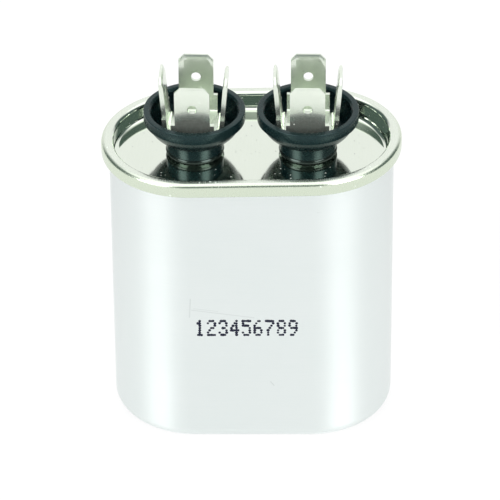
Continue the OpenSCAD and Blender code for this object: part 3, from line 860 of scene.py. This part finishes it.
@dataclass
class Terminal:
    """One terminal: gasket, moulded cup, four-way blades and the rivet that clamps them."""

    side: int
    twist: float = 0.0
    sheets: Sheets = field(default_factory=Sheets)
    cup_d: float = 18.5
    cup_h: float = 9.1
    lip_h: float = 1.95
    lip_w: float = 1.0
    lip_step: float = 0.35
    bowl_r: float = 5.4
    bowl_wall: float = 1.05
    bowl_foot_h: float = 3.1
    floor_h: float = 5.1
    neck_d: float = 10.4
    spigot_d: float = 6.4
    spigot_l: float = 1.4
    gasket_t: float = 1.1
    bore_d: float = 6.6
    rivet_d: float = 3.2
    rivet_fit: float = 0.05
    head_d: float = 5.2
    head_h: float = 0.9
    foot_h: float = 0.6
    bulge: float = 0.14

    def __post_init__(self) -> None:
        """Works out where the terminal stands."""
        self.word = "left" if self.side < 0 else "right"
        self.x = self.side * self.sheets.terminal_pitch / 2
        self.axis = (self.x * MM, 0.0, self.sheets.deck_z * MM)

    def turned(self, name: str, section: list[Point], material: bpy.types.Material, slot: str, node: str,
               height: float | None = None, sharp: float = 32.0) -> bpy.types.Object:
        """Turns a closed section round the terminal's axis.

        Args:
            name: the piece's name.
            section: radius and height above the deck, in millimetres.
            material: its finish.
            slot: the record's slot.
            node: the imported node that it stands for.
            height: height of the section's zero in metres, or None for the deck's top.
            sharp: angle from which an edge is shaded sharp.

        Returns:
            The finished piece.
        """
        base = self.axis[2] if height is None else height
        mesh = Swept(name, [(x * MM, y * MM) for x, y in section], Path.ROUND,
                     centre=(self.axis[0], 0.0, base), steps=48, sharp=sharp,
                     closed=section[0][0] > 0).mesh(material)
        return fit_out(new_object(name, mesh), slot, node)

    def gasket(self, bench: Bench) -> bpy.types.Object:
        """Builds the rubber gasket, its rim bulged a little by the clamping.

        Args:
            bench: the materials.

        Returns:
            The gasket.
        """
        r, hole, t = self.neck_d / 2 + self.bulge, self.bore_d / 2, self.gasket_t
        section = soften([(hole, 0, 0), (r - 0.4, 0, 0.1), (r - 0.05, 0.5, 0.3), (r, t - 0.3, 0.1),
                          (r - self.bulge, t, 0.08), (hole, t, 0)])
        return self.turned(f"gasket_ring_{self.word}", section, bench["gasket_rubber"], "gasket_rubber",
                           f"cup_gasket_{self.word}")

    def cup_section(self) -> list[Point]:
        """Closed section of the cup: spigot, neck, bowl, lip and inner wall, in millimetres."""
        bore = self.rivet_d / 2 + self.rivet_fit
        foot = -self.sheets.cover_sheet - self.spigot_l
        neck, lip = self.neck_d / 2, self.cup_d / 2
        mid_r, mid_h = lip - self.lip_step - self.bowl_r, self.bowl_foot_h + self.bowl_r
        inner = self.bowl_r - self.bowl_wall
        mouth, low = lip - self.lip_w, self.cup_h - self.lip_h
        start = -math.degrees(math.acos((neck - mid_r) / self.bowl_r))
        end = math.degrees(math.asin((low - mid_h) / self.bowl_r))
        floor = math.degrees(math.asin((self.floor_h - mid_h) / inner))
        ease = self.cup_h - mouth + mid_r + inner
        return soften([
            (bore, foot, 0.1), (self.spigot_d / 2, foot, 0.2), (self.spigot_d / 2, self.gasket_t, 0),
            (neck, self.gasket_t, 0.15),
            *[(x, y, 0) for x, y in arc((mid_r, mid_h), self.bowl_r, start, end, 22)],
            (lip, low, 0.1), (lip, self.cup_h, 0.14),
            (mouth, self.cup_h, 0.16), (mid_r + inner, ease, 0.2),
            *[(x, y, 0) for x, y in arc((mid_r, mid_h), inner, 0, floor, 22)],
            (bore, self.floor_h, 0.1)], 4)

    def cup(self, bench: Bench) -> bpy.types.Object:
        """Builds the moulded cup of the terminal."""
        return self.turned(f"moulded_cup_{self.word}", self.cup_section(), bench["cup_phenolic"], "cup_phenolic",
                           f"terminal_cup_{self.word}")

    def rivet(self, bench: Bench) -> bpy.types.Object:
        """Builds the rivet's domed head with its shank and foot.

        Args:
            bench: the materials.

        Returns:
            The rivet.
        """
        low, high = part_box(f"terminal_rivet_{self.word}")
        head_r, shank = self.head_d / 2, self.rivet_d / 2
        head_z = high.z / MM - self.head_h
        dome = (head_r ** 2 + self.head_h ** 2) / (2 * self.head_h)
        rise = math.degrees(math.asin(head_r / dome))
        centre = head_z + self.head_h - dome
        foot_r = min((high.x - self.x * MM) / MM, head_r)
        foot_top = low.z / MM + self.foot_h
        crown = arc((0, centre), dome, 90 - rise, 90, 10)
        section = [(0, low.z / MM), (foot_r, low.z / MM), (foot_r, foot_top),
                   (shank, foot_top), (shank, head_z), *crown]
        return self.turned(f"rivet_{self.word}", section, bench["rivet_tin"], "rivet_tin",
                           f"terminal_rivet_{self.word}", 0.0)

    def build(self, bench: Bench) -> list[bpy.types.Object]:
        """Builds and dresses the whole terminal.

        Args:
            bench: the materials.

        Returns:
            Its pieces.
        """
        blades = Blades(self.word, self.x, self.sheets.deck_z + self.floor_h, self.twist, self.rivet_d / 2)
        return [self.gasket(bench), self.cup(bench), self.rivet(bench), blades.build(bench)]


@dataclass
class Blades:
    """The four-way stamping: a plate with an arm, a bend and a quick-connect blade on each side."""

    word: str
    x: float
    z: float
    twist: float
    bore_r: float
    width: float = 6.35
    sheet: float = 0.8
    length: float = 8.1
    shoulder_h: float = 3.15
    shoulder_w: float = 7.8
    span: float = 10.1
    lean: float = 4.8
    bend_r: float = 0.5
    tip_cut: float = 1.0
    bevel_l: float = 0.6
    bevel_t: float = 0.2
    hole_d: float = 1.8
    hole_drop: float = 4.4
    hole_patch: float = 1.5
    bend_steps: int = 10
    plate_steps: int = 6
    ring_steps: int = 3
    merge: float = 4e-6
    sharp: float = 24.0

    def __post_init__(self) -> None:
        """Works out the blank's lengths along the arm."""
        lean = math.radians(self.lean)
        self.flat = self.span / 2 - self.sheet / 2 - self.bend_r
        self.turn = math.pi / 2 - lean
        self.mid_r = self.bend_r + self.sheet / 2
        self.bend_end = self.flat + self.mid_r * self.turn
        run = (self.shoulder_h + self.length - self.bend_r) / math.cos(lean)
        rise = (self.shoulder_h - self.bend_r + self.mid_r * math.sin(lean)) / math.cos(lean)
        self.shoulder = self.bend_end + rise
        self.tip = self.bend_end + run

    def bent(self, x: float, along: float, out: float) -> Vector:
        """Takes a point of the flat blank to its place on the bent arm.

        Args:
            x: place across the arm.
            along: place along the blank from the plate's middle.
            out: height above the middle of the sheet, on the side that ends up inside.

        Returns:
            The point in millimetres from the middle of the plate's underside.
        """
        level = self.sheet / 2
        if along <= self.flat:
            return Vector((x, along, level + out))
        angle = min((along - self.flat) / self.mid_r, self.turn)
        rest = max(along - self.bend_end, 0.0)
        radius = self.mid_r - out
        centre = Vector((x, self.flat, self.sheet + self.bend_r))
        spoke = Vector((0, math.sin(angle), -math.cos(angle)))
        way = Vector((0, math.cos(angle), math.sin(angle)))
        return centre + spoke * radius + way * rest

    def columns(self) -> list[float]:
        """Places across the blank where its faces are cut, in millimetres."""
        ear, half, patch = self.shoulder_w / 2, self.width / 2, self.hole_patch
        cut = half - self.tip_cut
        return [-ear, -half, -cut, -patch, -patch / 2, 0, patch / 2, patch, cut, half, ear]

    def plate_panels(self) -> list[list[Point]]:
        """Lays out the quarter of the plate between the rivet's bore and the arm.

        Returns:
            The corners of each face.
        """
        ear, columns = self.shoulder_w / 2, self.columns()
        panels = []
        for left, right in zip(columns, columns[1:]):
            a, b = left / ear, right / ear
            for k in range(self.plate_steps):
                near, far = k / self.plate_steps, (k + 1) / self.plate_steps
                corners = []
                for c, t in ((a, near), (b, near), (b, far), (a, far)):
                    angle = c * math.pi / 4
                    inner = Vector((self.bore_r * math.sin(angle), self.bore_r * math.cos(angle)))
                    corners.append(tuple(inner.lerp(Vector((c * ear, ear)), t)))
                panels.append(corners)
        return panels

    def arm_panels(self) -> list[list[Point]]:
        """Lays out the arm from the plate to the tip, without the patch round the latch hole.

        Returns:
            The corners of each face.
        """
        columns, patch, bend = self.columns(), self.hole_patch, self.bend_end - self.flat
        last = len(columns) - 2
        hole_y = self.tip - self.hole_drop
        cut_y = self.tip - self.tip_cut
        rows = [self.shoulder_w / 2, self.flat]
        rows += [self.flat + bend * i / self.bend_steps for i in range(1, self.bend_steps + 1)]
        rows += [(self.bend_end + self.shoulder) / 2, self.shoulder, (self.shoulder + hole_y - patch) / 2]
        rows += [hole_y - patch, hole_y - patch / 2, hole_y, hole_y + patch / 2, hole_y + patch]
        rows += [cut_y, self.tip]
        near = 1e-6
        panels = []
        for low, high in zip(rows, rows[1:]):
            for i, (left, right) in enumerate(zip(columns, columns[1:])):
                if low >= self.shoulder - near and i in (0, last):
                    continue
                if hole_y - patch <= low < hole_y + patch - near and -patch <= left < patch - near:
                    continue
                if low >= cut_y - near and i in (1, last - 1):
                    inside = right if i == 1 else left
                    panels.append([(left, low), (right, low), (inside, high)])
                else:
                    panels.append([(left, low), (right, low), (right, high), (left, high)])
        return panels

    def ring_panels(self) -> list[list[Point]]:
        """Lays out the faces between the square patch and the latch hole.

        Returns:
            The corners of each face.
        """
        patch, hole_y, steps = self.hole_patch, self.tip - self.hole_drop, self.ring_steps
        marks = [-patch, -patch / 2, 0, patch / 2]
        square = [(m, -patch) for m in marks] + [(patch, m) for m in marks]
        square += [(-m, patch) for m in marks] + [(-patch, -m) for m in marks]
        panels = []
        for start, end in zip(square, square[1:] + square[:1]):
            for k in range(steps):
                corners = []
                for place, t in ((start, k), (end, k), (end, k + 1), (start, k + 1)):
                    outer = Vector(place)
                    spot = outer.lerp(outer.normalized() * self.hole_d / 2, t / steps)
                    corners.append((spot.x, spot.y + hole_y))
                panels.append(corners)
        return panels

    def blank(self) -> bmesh.types.BMesh:
        """Makes one arm's flat blank as a solid, with its hole, cut corners and bevels.

        Returns:
            A bmesh in millimetres, x across, y along, z through the sheet.
        """
        work = bmesh.new()
        seen: dict[Point, bmesh.types.BMVert] = {}
        for corners in (*self.plate_panels(), *self.arm_panels(), *self.ring_panels()):
            ring = []
            for x, y in corners:
                key = (round(x, 5), round(y, 5))
                if key not in seen:
                    seen[key] = work.verts.new((x, y, 0))
                if seen[key] not in ring:
                    ring.append(seen[key])
            if len(ring) > 2:
                work.faces.new(ring)
        flat = list(work.faces)
        grown_up = bmesh.ops.extrude_face_region(work, geom=flat)
        lifted = [v for v in grown_up["geom"] if isinstance(v, bmesh.types.BMVert)]
        for v in lifted:
            v.co.z = self.sheet / 2
        top = set(lifted)
        for v in work.verts:
            if v not in top:
                v.co.z = -self.sheet / 2
        bmesh.ops.recalc_face_normals(work, faces=work.faces)
        self.coin(work)
        return settled(work)

    def coin(self, work: bmesh.types.BMesh) -> None:
        """Cuts the bevels along the tip and its two cut corners, on both faces.

        Args:
            work: the flat blank.
        """
        half, face = self.width / 2, self.sheet / 2
        slope = math.atan2(self.bevel_t, self.bevel_l)
        edges = [(Vector((0, self.tip, 0)), Vector((0, 1, 0)))]
        for side in (-1, 1):
            middle = Vector((side * (half - self.tip_cut / 2), self.tip - self.tip_cut / 2, 0))
            edges.append((middle, Vector((side, 1, 0)).normalized()))
        for middle, outward in edges:
            for up in (-1, 1):
                start = middle - outward * self.bevel_l + Vector((0, 0, up * face))
                normal = (Vector((0, 0, up)) * math.cos(slope) + outward * math.sin(slope)).normalized()
                geom = list(work.verts) + list(work.edges) + list(work.faces)
                cut = bmesh.ops.bisect_plane(work, geom=geom, plane_co=start, plane_no=normal, clear_outer=True,
                                             dist=1e-5)
                ring = [e for e in cut["geom_cut"] if isinstance(e, bmesh.types.BMEdge)]
                bmesh.ops.holes_fill(work, edges=ring, sides=0)

    def build(self, bench: Bench) -> bpy.types.Object:
        """Bends the blank, turns it to its four places and dresses it.

        Args:
            bench: the materials.

        Returns:
            The stamping as one piece.
        """
        work = self.blank()
        for v in work.verts:
            v.co = self.bent(v.co.x, v.co.y, v.co.z) * MM
        arm = bpy.data.meshes.new("blade_arm")
        work.to_mesh(arm)
        work.free()
        name = f"four_way_blades_{self.word}"
        mesh = grown(name, arm, cross_tree(), {"Finish": bench["blade_tin"], "Arms": 4,
                                               "First turn": math.radians(self.twist),
                                               "Centre": (self.x * MM, 0.0, self.z * MM)})
        work = bmesh.new()
        work.from_mesh(mesh)
        bmesh.ops.remove_doubles(work, verts=work.verts, dist=self.merge)
        inner = [f for f in work.faces if sum(len(e.link_faces) > 2 for e in f.edges) > 1]
        bmesh.ops.delete(work, geom=inner, context="FACES")
        bmesh.ops.recalc_face_normals(work, faces=work.faces)
        work.to_mesh(mesh)
        work.free()
        tidy(mesh, self.sharp)
        return fit_out(new_object(name, mesh), "blade_tin", f"blade_terminal_{self.word}")


def cross_tree() -> bpy.types.NodeTree:
    """Builds the tree that sets one arm at even turns round the terminal's axis.

    Returns:
        A node group with the inputs Arms, First turn, Centre and Finish.
    """
    tree = bpy.data.node_groups.new("cross_of_arms", "GeometryNodeTree")
    face = tree.interface
    face.new_socket("Arm", in_out="INPUT", socket_type="NodeSocketGeometry")
    for name, kind in (("Arms", "NodeSocketInt"), ("First turn", "NodeSocketFloat"),
                       ("Centre", "NodeSocketVector"), ("Finish", "NodeSocketMaterial")):
        face.new_socket(name, in_out="INPUT", socket_type=kind)
    face.new_socket("Cross", in_out="OUTPUT", socket_type="NodeSocketGeometry")
    given = add_node(tree, "NodeGroupInput").outputs
    spots = add_node(tree, "GeometryNodePoints", links={"Count": given["Arms"]})
    number = add_node(tree, "GeometryNodeInputIndex")
    share = add_node(tree, "ShaderNodeMath", {0: 2 * math.pi}, {1: given["Arms"]}, operation="DIVIDE")
    turn = add_node(tree, "ShaderNodeMath", links={0: number.outputs[0], 1: share.outputs[0],
                                                   2: given["First turn"]}, operation="MULTIPLY_ADD")
    spin = add_node(tree, "ShaderNodeCombineXYZ", links={"Z": turn.outputs[0]})
    arms = add_node(tree, "GeometryNodeInstanceOnPoints", links={
        "Points": spots.outputs[0], "Instance": given["Arm"], "Rotation": spin.outputs[0]})
    placed = add_node(tree, "GeometryNodeTransform", links={
        "Geometry": arms.outputs[0], "Translation": given["Centre"]})
    real = add_node(tree, "GeometryNodeRealizeInstances", links={"Geometry": placed.outputs[0]})
    dressed = add_node(tree, "GeometryNodeSetMaterial", links={
        "Geometry": real.outputs[0], "Material": given["Finish"]})
    add_node(tree, "NodeGroupOutput", links={0: dressed.outputs[0]})
    return tree


class SealedParts:
    """What the can holds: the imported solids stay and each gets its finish."""

    slots: dict[str, str] = {row["node"]: row["material_slot"] for row in frame["record"]["subparts"]}
    shown: tuple[str, ...] = ("case", "cover", "seam_compound", "cup_gasket", "terminal_cup", "blade_terminal",
                              "terminal_rivet")

    def build(self, bench: Bench) -> None:
        """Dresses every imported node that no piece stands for.

        Args:
            bench: the materials.
        """
        for node, slot in self.slots.items():
            if node.startswith(self.shown):
                continue
            solid = frame["nodes"][node]
            if not solid.material_slots:
                solid.data.materials.append(None)
            for place in solid.material_slots:
                place.material = bench[slot]
            log.info("%s: packed solid in %s", node, FINISHES[slot].name)


@dataclass
class InkRow:
    """A plain counting row of digits, printed on the can's front in dots of ink."""

    sheets: Sheets = field(default_factory=Sheets)
    digits: str = "123456789"
    place: Point = (-1.0, 25.6)
    pitch: float = 2.14
    step: Point = (0.31, 0.52)
    dot_r: float = 0.27
    film: float = 0.01
    stray: float = 0.03

    GLYPHS = {
        "1": "00100 01100 00100 00100 00100 00100 01110", "2": "01110 10001 00001 00110 01000 10000 11111",
        "3": "01110 10001 00001 00110 00001 10001 01110", "4": "00010 00110 01010 10010 11111 00010 00010",
        "5": "11111 10000 11110 00001 00001 10001 01110", "6": "00110 01000 10000 11110 10001 10001 01110",
        "7": "11111 00001 00010 00100 01000 01000 01000", "8": "01110 10001 10001 01110 10001 10001 01110",
        "9": "01110 10001 10001 01111 00001 00010 01100",
    }

    def dots(self) -> list[tuple[float, float, float]]:
        """Places of the dots on the can's front, in metres."""
        face = -(self.sheets.can_r + self.film / 2) * MM
        first = self.place[0] - self.pitch * (len(self.digits) - 1) / 2
        spots = []
        for number, digit in enumerate(self.digits):
            for row, line in enumerate(self.GLYPHS[digit].split()):
                for column, mark in enumerate(line):
                    if mark == "1":
                        x = first + number * self.pitch + (column - 2) * self.step[0]
                        spots.append((x * MM, face, (self.place[1] + (3 - row) * self.step[1]) * MM))
        return spots

    def tree(self) -> bpy.types.NodeTree:
        """Builds the tree that sets a drop of ink on each place.

        Returns:
            A node group with the inputs Dot radius, Film, Stray and Finish.
        """
        tree = bpy.data.node_groups.new("ink_drops", "GeometryNodeTree")
        face = tree.interface
        face.new_socket("Places", in_out="INPUT", socket_type="NodeSocketGeometry")
        for name, kind in (("Dot radius", "NodeSocketFloat"), ("Film", "NodeSocketFloat"),
                           ("Stray", "NodeSocketVector"), ("Finish", "NodeSocketMaterial")):
            face.new_socket(name, in_out="INPUT", socket_type=kind)
        face.new_socket("Ink", in_out="OUTPUT", socket_type="NodeSocketGeometry")
        given = add_node(tree, "NodeGroupInput").outputs
        back = add_node(tree, "ShaderNodeVectorMath", {"Scale": -1.0}, {0: given["Stray"]}, operation="SCALE")
        away = add_node(tree, "FunctionNodeRandomValue", {"Seed": 11}, {0: back.outputs[0], 1: given["Stray"]},
                        data_type="FLOAT_VECTOR")
        moved = add_node(tree, "GeometryNodeSetPosition", links={
            "Geometry": given["Places"], "Offset": away.outputs[0]})
        drop = add_node(tree, "GeometryNodeMeshCylinder", {"Vertices": 14}, {
            "Radius": given["Dot radius"], "Depth": given["Film"]})
        size = add_node(tree, "FunctionNodeRandomValue", {2: 0.82, 3: 1.16, "Seed": 5}, data_type="FLOAT")
        drops = add_node(tree, "GeometryNodeInstanceOnPoints", {"Rotation": (math.pi / 2, 0, 0)}, {
            "Points": moved.outputs[0], "Instance": drop.outputs["Mesh"], "Scale": size.outputs[1]})
        real = add_node(tree, "GeometryNodeRealizeInstances", links={"Geometry": drops.outputs[0]})
        dressed = add_node(tree, "GeometryNodeSetMaterial", links={
            "Geometry": real.outputs[0], "Material": given["Finish"]})
        add_node(tree, "NodeGroupOutput", links={0: dressed.outputs[0]})
        return tree

    def build(self, bench: Bench) -> bpy.types.Object:
        """Prints the row.

        Args:
            bench: the materials.

        Returns:
            The row of ink drops.
        """
        seed = bpy.data.meshes.new("ink_places")
        seed.from_pydata(self.dots(), [], [])
        mesh = grown("counting_row", seed, self.tree(), {
            "Dot radius": self.dot_r * MM, "Film": self.film * MM, "Finish": bench["marking_ink"],
            "Stray": (self.stray * MM, 0.0, self.stray * MM)})
        piece = new_object("counting_row", mesh)
        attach(piece, BODY)
        log.info("%s: %d faces of ink on the can's front", piece.name, len(mesh.polygons))
        return piece


# ---- Studio ----


@dataclass
class Studio:
    """White sweep, soft light and the camera."""

    focal_mm: float = 293.95
    distance: float = 0.75764
    elevation: float = 34.291
    azimuth: float = 0.80456
    roll: float = -0.49396
    target: tuple[float, float, float] = (-0.00043, 0.0, 0.032515)
    floor_size: float = 6.0
    back: tuple[float, float, float] = (1.02, 1.02, 1.02)
    room: tuple[float, float, float] = (0.10, 0.14, 0.128)
    above: tuple[float, float, float] = (1.45, 1.45, 1.45)
    behind_ramp: Point = (0.62, 0.78)
    above_ramp: Point = (0.62, 0.80)
    window_foot: Point = (0.02, 0.08)
    window_head: Point = (0.78, 0.70)
    window_soft: float = 2.0
    window_turn: float = 46.5
    window_bias: float = 2.5
    window_half: float = 16.0
    window_level: float = 6.2
    fill_low: float = 0.3
    fill_high: float = 0.85
    floor_white: float = 0.86
    floor_drop: float = 0.00002
    side_box: tuple[float, float, float] = (0.62, -0.62, 0.42)
    side_watts: float = 3.6
    overhead_box: tuple[float, float, float] = (0.0, 0.25, 0.95)
    overhead_watts: float = 4.0
    lamp_aim: tuple[float, float, float] = (0.0, 0.0, 0.03)

    def camera(self) -> None:
        """Sets the camera at its angle and distance."""
        el, az, roll = (math.radians(a) for a in (self.elevation, self.azimuth, self.roll))
        back = Vector((math.sin(az) * math.cos(el), -math.cos(az) * math.cos(el), math.sin(el)))
        right = Vector((0, 0, 1)).cross(back).normalized()
        up = back.cross(right)
        across = right * math.cos(roll) + up * math.sin(roll)
        top = up * math.cos(roll) - right * math.sin(roll)
        lens = bpy.data.cameras.new("camera")
        lens.sensor_width = 36.0
        lens.lens = self.focal_mm
        lens.clip_end = 50.0
        holder = bpy.data.objects.new("camera", lens)
        bpy.context.scene.collection.objects.link(holder)
        pose = Matrix((across, top, back)).transposed().to_4x4()
        pose.translation = Vector(self.target) + back * self.distance
        holder.matrix_world = pose
        bpy.context.scene.camera = holder

    @staticmethod
    def seen(tree: bpy.types.NodeTree) -> bpy.types.NodeSocket:
        """A factor that is 1 for camera, glossy and transmission rays.

        Args:
            tree: a world's or material's tree.

        Returns:
            The factor's socket.
        """
        path = add_node(tree, "ShaderNodeLightPath").outputs
        first = add_node(tree, "ShaderNodeMath", links={0: path["Is Camera Ray"], 1: path["Is Glossy Ray"]},
                         operation="MAXIMUM")
        return add_node(tree, "ShaderNodeMath", links={0: first.outputs[0], 1: path["Is Transmission Ray"]},
                        operation="MAXIMUM").outputs[0]

    def floor(self) -> None:
        """Lays the plain white floor, which keeps a faint shadow."""
        half = self.floor_size / 2
        mesh = bpy.data.meshes.new("floor")
        mesh.from_pydata([(-half, -half, 0), (half, -half, 0), (half, half, 0), (-half, half, 0)], [], [(0, 1, 2, 3)])
        piece = new_object("floor", mesh)
        made = bpy.data.materials.new("white_sweep")
        made.use_nodes = True
        tree = made.node_tree
        tree.nodes.clear()
        paper = add_node(tree, "ShaderNodeBsdfDiffuse", {"Color": (*(self.floor_white,) * 3, 1)})
        glow = add_node(tree, "ShaderNodeEmission", {"Color": (1, 1, 1, 1), "Strength": 1.0})
        share = add_node(tree, "ShaderNodeMath", {1: self.floor_white}, {0: self.seen(tree)}, operation="MULTIPLY")
        mixed = add_node(tree, "ShaderNodeMixShader", links={0: share.outputs[0], 1: paper.outputs[0],
                                                             2: glow.outputs[0]})
        add_node(tree, "ShaderNodeOutputMaterial", links={"Surface": mixed.outputs[0]})
        mesh.materials.append(made)
        piece.location.z = -self.floor_drop

    @staticmethod
    def ramp(tree: bpy.types.NodeTree, value: bpy.types.NodeSocket, start: float, end: float) -> bpy.types.NodeSocket:
        """Ramps smoothly from 0 at a start value to 1 at an end value.

        Args:
            tree: the world's tree.
            value: the value to ramp.
            start: value that gives 0.
            end: value that gives 1.

        Returns:
            The ramp's socket.
        """
        return add_node(tree, "ShaderNodeMapRange", {"From Min": start, "From Max": end}, {"Value": value},
                        interpolation_type="SMOOTHSTEP").outputs[0]

    def world(self) -> None:
        """Lights the room: a white wall behind and above, dim elsewhere, with two tall windows in front."""
        world = bpy.data.worlds.new("studio")
        world.use_nodes = True
        bpy.context.scene.world = world
        tree = world.node_tree
        tree.nodes.clear()
        way = add_node(tree, "ShaderNodeTexCoord").outputs["Generated"]
        parts = add_node(tree, "ShaderNodeSeparateXYZ", links={0: way}).outputs
        behind = self.ramp(tree, parts["Y"], *self.behind_ramp)
        above = self.ramp(tree, parts["Z"], *self.above_ramp)
        bright = add_node(tree, "ShaderNodeMath", links={0: behind, 1: above}, operation="MAXIMUM").outputs[0]
        wall = add_node(tree, "ShaderNodeMix", {"A": (*self.room, 1), "B": (*self.back, 1)}, {"Factor": behind},
                        data_type="RGBA").outputs["Result"]
        room = add_node(tree, "ShaderNodeMix", {"B": (*self.above, 1)}, {"Factor": above, "A": wall},
                        data_type="RGBA").outputs["Result"]
        turned = add_node(tree, "ShaderNodeMapping", {"Rotation": (0, 0, math.radians(self.window_bias))},
                          {"Vector": way}).outputs[0]
        sideways = add_node(tree, "ShaderNodeSeparateXYZ", links={0: turned}).outputs
        side = add_node(tree, "ShaderNodeMath", links={0: sideways["X"]}, operation="ABSOLUTE").outputs[0]
        level = add_node(tree, "ShaderNodeCombineXYZ", links={"X": side, "Y": sideways["Y"]}).outputs[0]
        unit = add_node(tree, "ShaderNodeVectorMath", links={0: level}, operation="NORMALIZE").outputs[0]
        turn = math.radians(self.window_turn)
        facing = add_node(tree, "ShaderNodeVectorMath", {1: (math.sin(turn), -math.cos(turn), 0)}, {0: unit},
                          operation="DOT_PRODUCT").outputs["Value"]
        wide = self.ramp(tree, facing, math.cos(math.radians(self.window_half + self.window_soft)),
                         math.cos(math.radians(self.window_half - self.window_soft)))
        low = self.ramp(tree, parts["Z"], *self.window_foot)
        high = self.ramp(tree, parts["Z"], *self.window_head)
        tall = add_node(tree, "ShaderNodeMath", links={0: low, 1: high}, operation="MULTIPLY").outputs[0]
        window = add_node(tree, "ShaderNodeMath", links={0: wide, 1: tall}, operation="MULTIPLY").outputs[0]
        lit = add_node(tree, "ShaderNodeMix", {"B": (*(self.window_level,) * 3, 1)}, {"Factor": window, "A": room},
                       data_type="RGBA").outputs["Result"]
        path = add_node(tree, "ShaderNodeLightPath").outputs
        straight = add_node(tree, "ShaderNodeMix", {"B": (1, 1, 1, 1)}, {"Factor": path["Is Camera Ray"], "A": lit},
                            data_type="RGBA").outputs["Result"]
        fill = add_node(tree, "ShaderNodeMix", {"A": (*(self.fill_low,) * 3, 1), "B": (*(self.fill_high,) * 3, 1)},
                        {"Factor": bright}, data_type="RGBA").outputs["Result"]
        soft = add_node(tree, "ShaderNodeMix", links={"Factor": path["Is Diffuse Ray"], "A": straight, "B": fill},
                        data_type="RGBA").outputs["Result"]
        air = add_node(tree, "ShaderNodeBackground", {"Strength": 1.0}, {"Color": soft})
        add_node(tree, "ShaderNodeOutputWorld", links={"Surface": air.outputs[0]})

    def lamp(self, name: str, place: tuple[float, float, float], aim: tuple[float, float, float],
             size: tuple[float, float], watts: float) -> None:
        """Hangs one soft box.

        Args:
            name: the lamp's name.
            place: where it hangs, in metres.
            aim: the point that it faces.
            size: its width and height.
            watts: its power.
        """
        light = bpy.data.lights.new(name, "AREA")
        light.shape = "RECTANGLE"
        light.size, light.size_y = size
        light.energy = watts
        holder = bpy.data.objects.new(name, light)
        bpy.context.scene.collection.objects.link(holder)
        holder.location = place
        holder.visible_glossy = False
        holder.rotation_euler = (Vector(aim) - Vector(place)).to_track_quat("-Z", "Y").to_euler()

    def build(self) -> None:
        """Sets up the whole studio."""
        self.camera()
        self.floor()
        self.world()
        for side in (-1, 1):
            x, y, z = self.side_box
            self.lamp(f"side_box_{side}", (side * x, y, z), self.lamp_aim, (0.58, 0.84), self.side_watts)
        self.lamp("overhead_box", self.overhead_box, self.lamp_aim, (0.8, 0.8), self.overhead_watts)
        bpy.context.scene.view_settings.view_transform = "Standard"


def main() -> None:
    """Builds the studio and the capacitor, in order."""
    logging.basicConfig(level=logging.INFO, format="%(message)s")
    Studio().build()
    bench = Bench()
    sheets = Sheets()
    Can(sheets).build(bench)
    Cover(sheets).build(bench)
    Bead(sheets).build(bench)
    Terminal(-1, -2.6, sheets).build(bench)
    Terminal(1, -0.9, sheets).build(bench)
    InkRow(sheets).build(bench)
    SealedParts().build(bench)


if __name__ == "__main__":
    main()
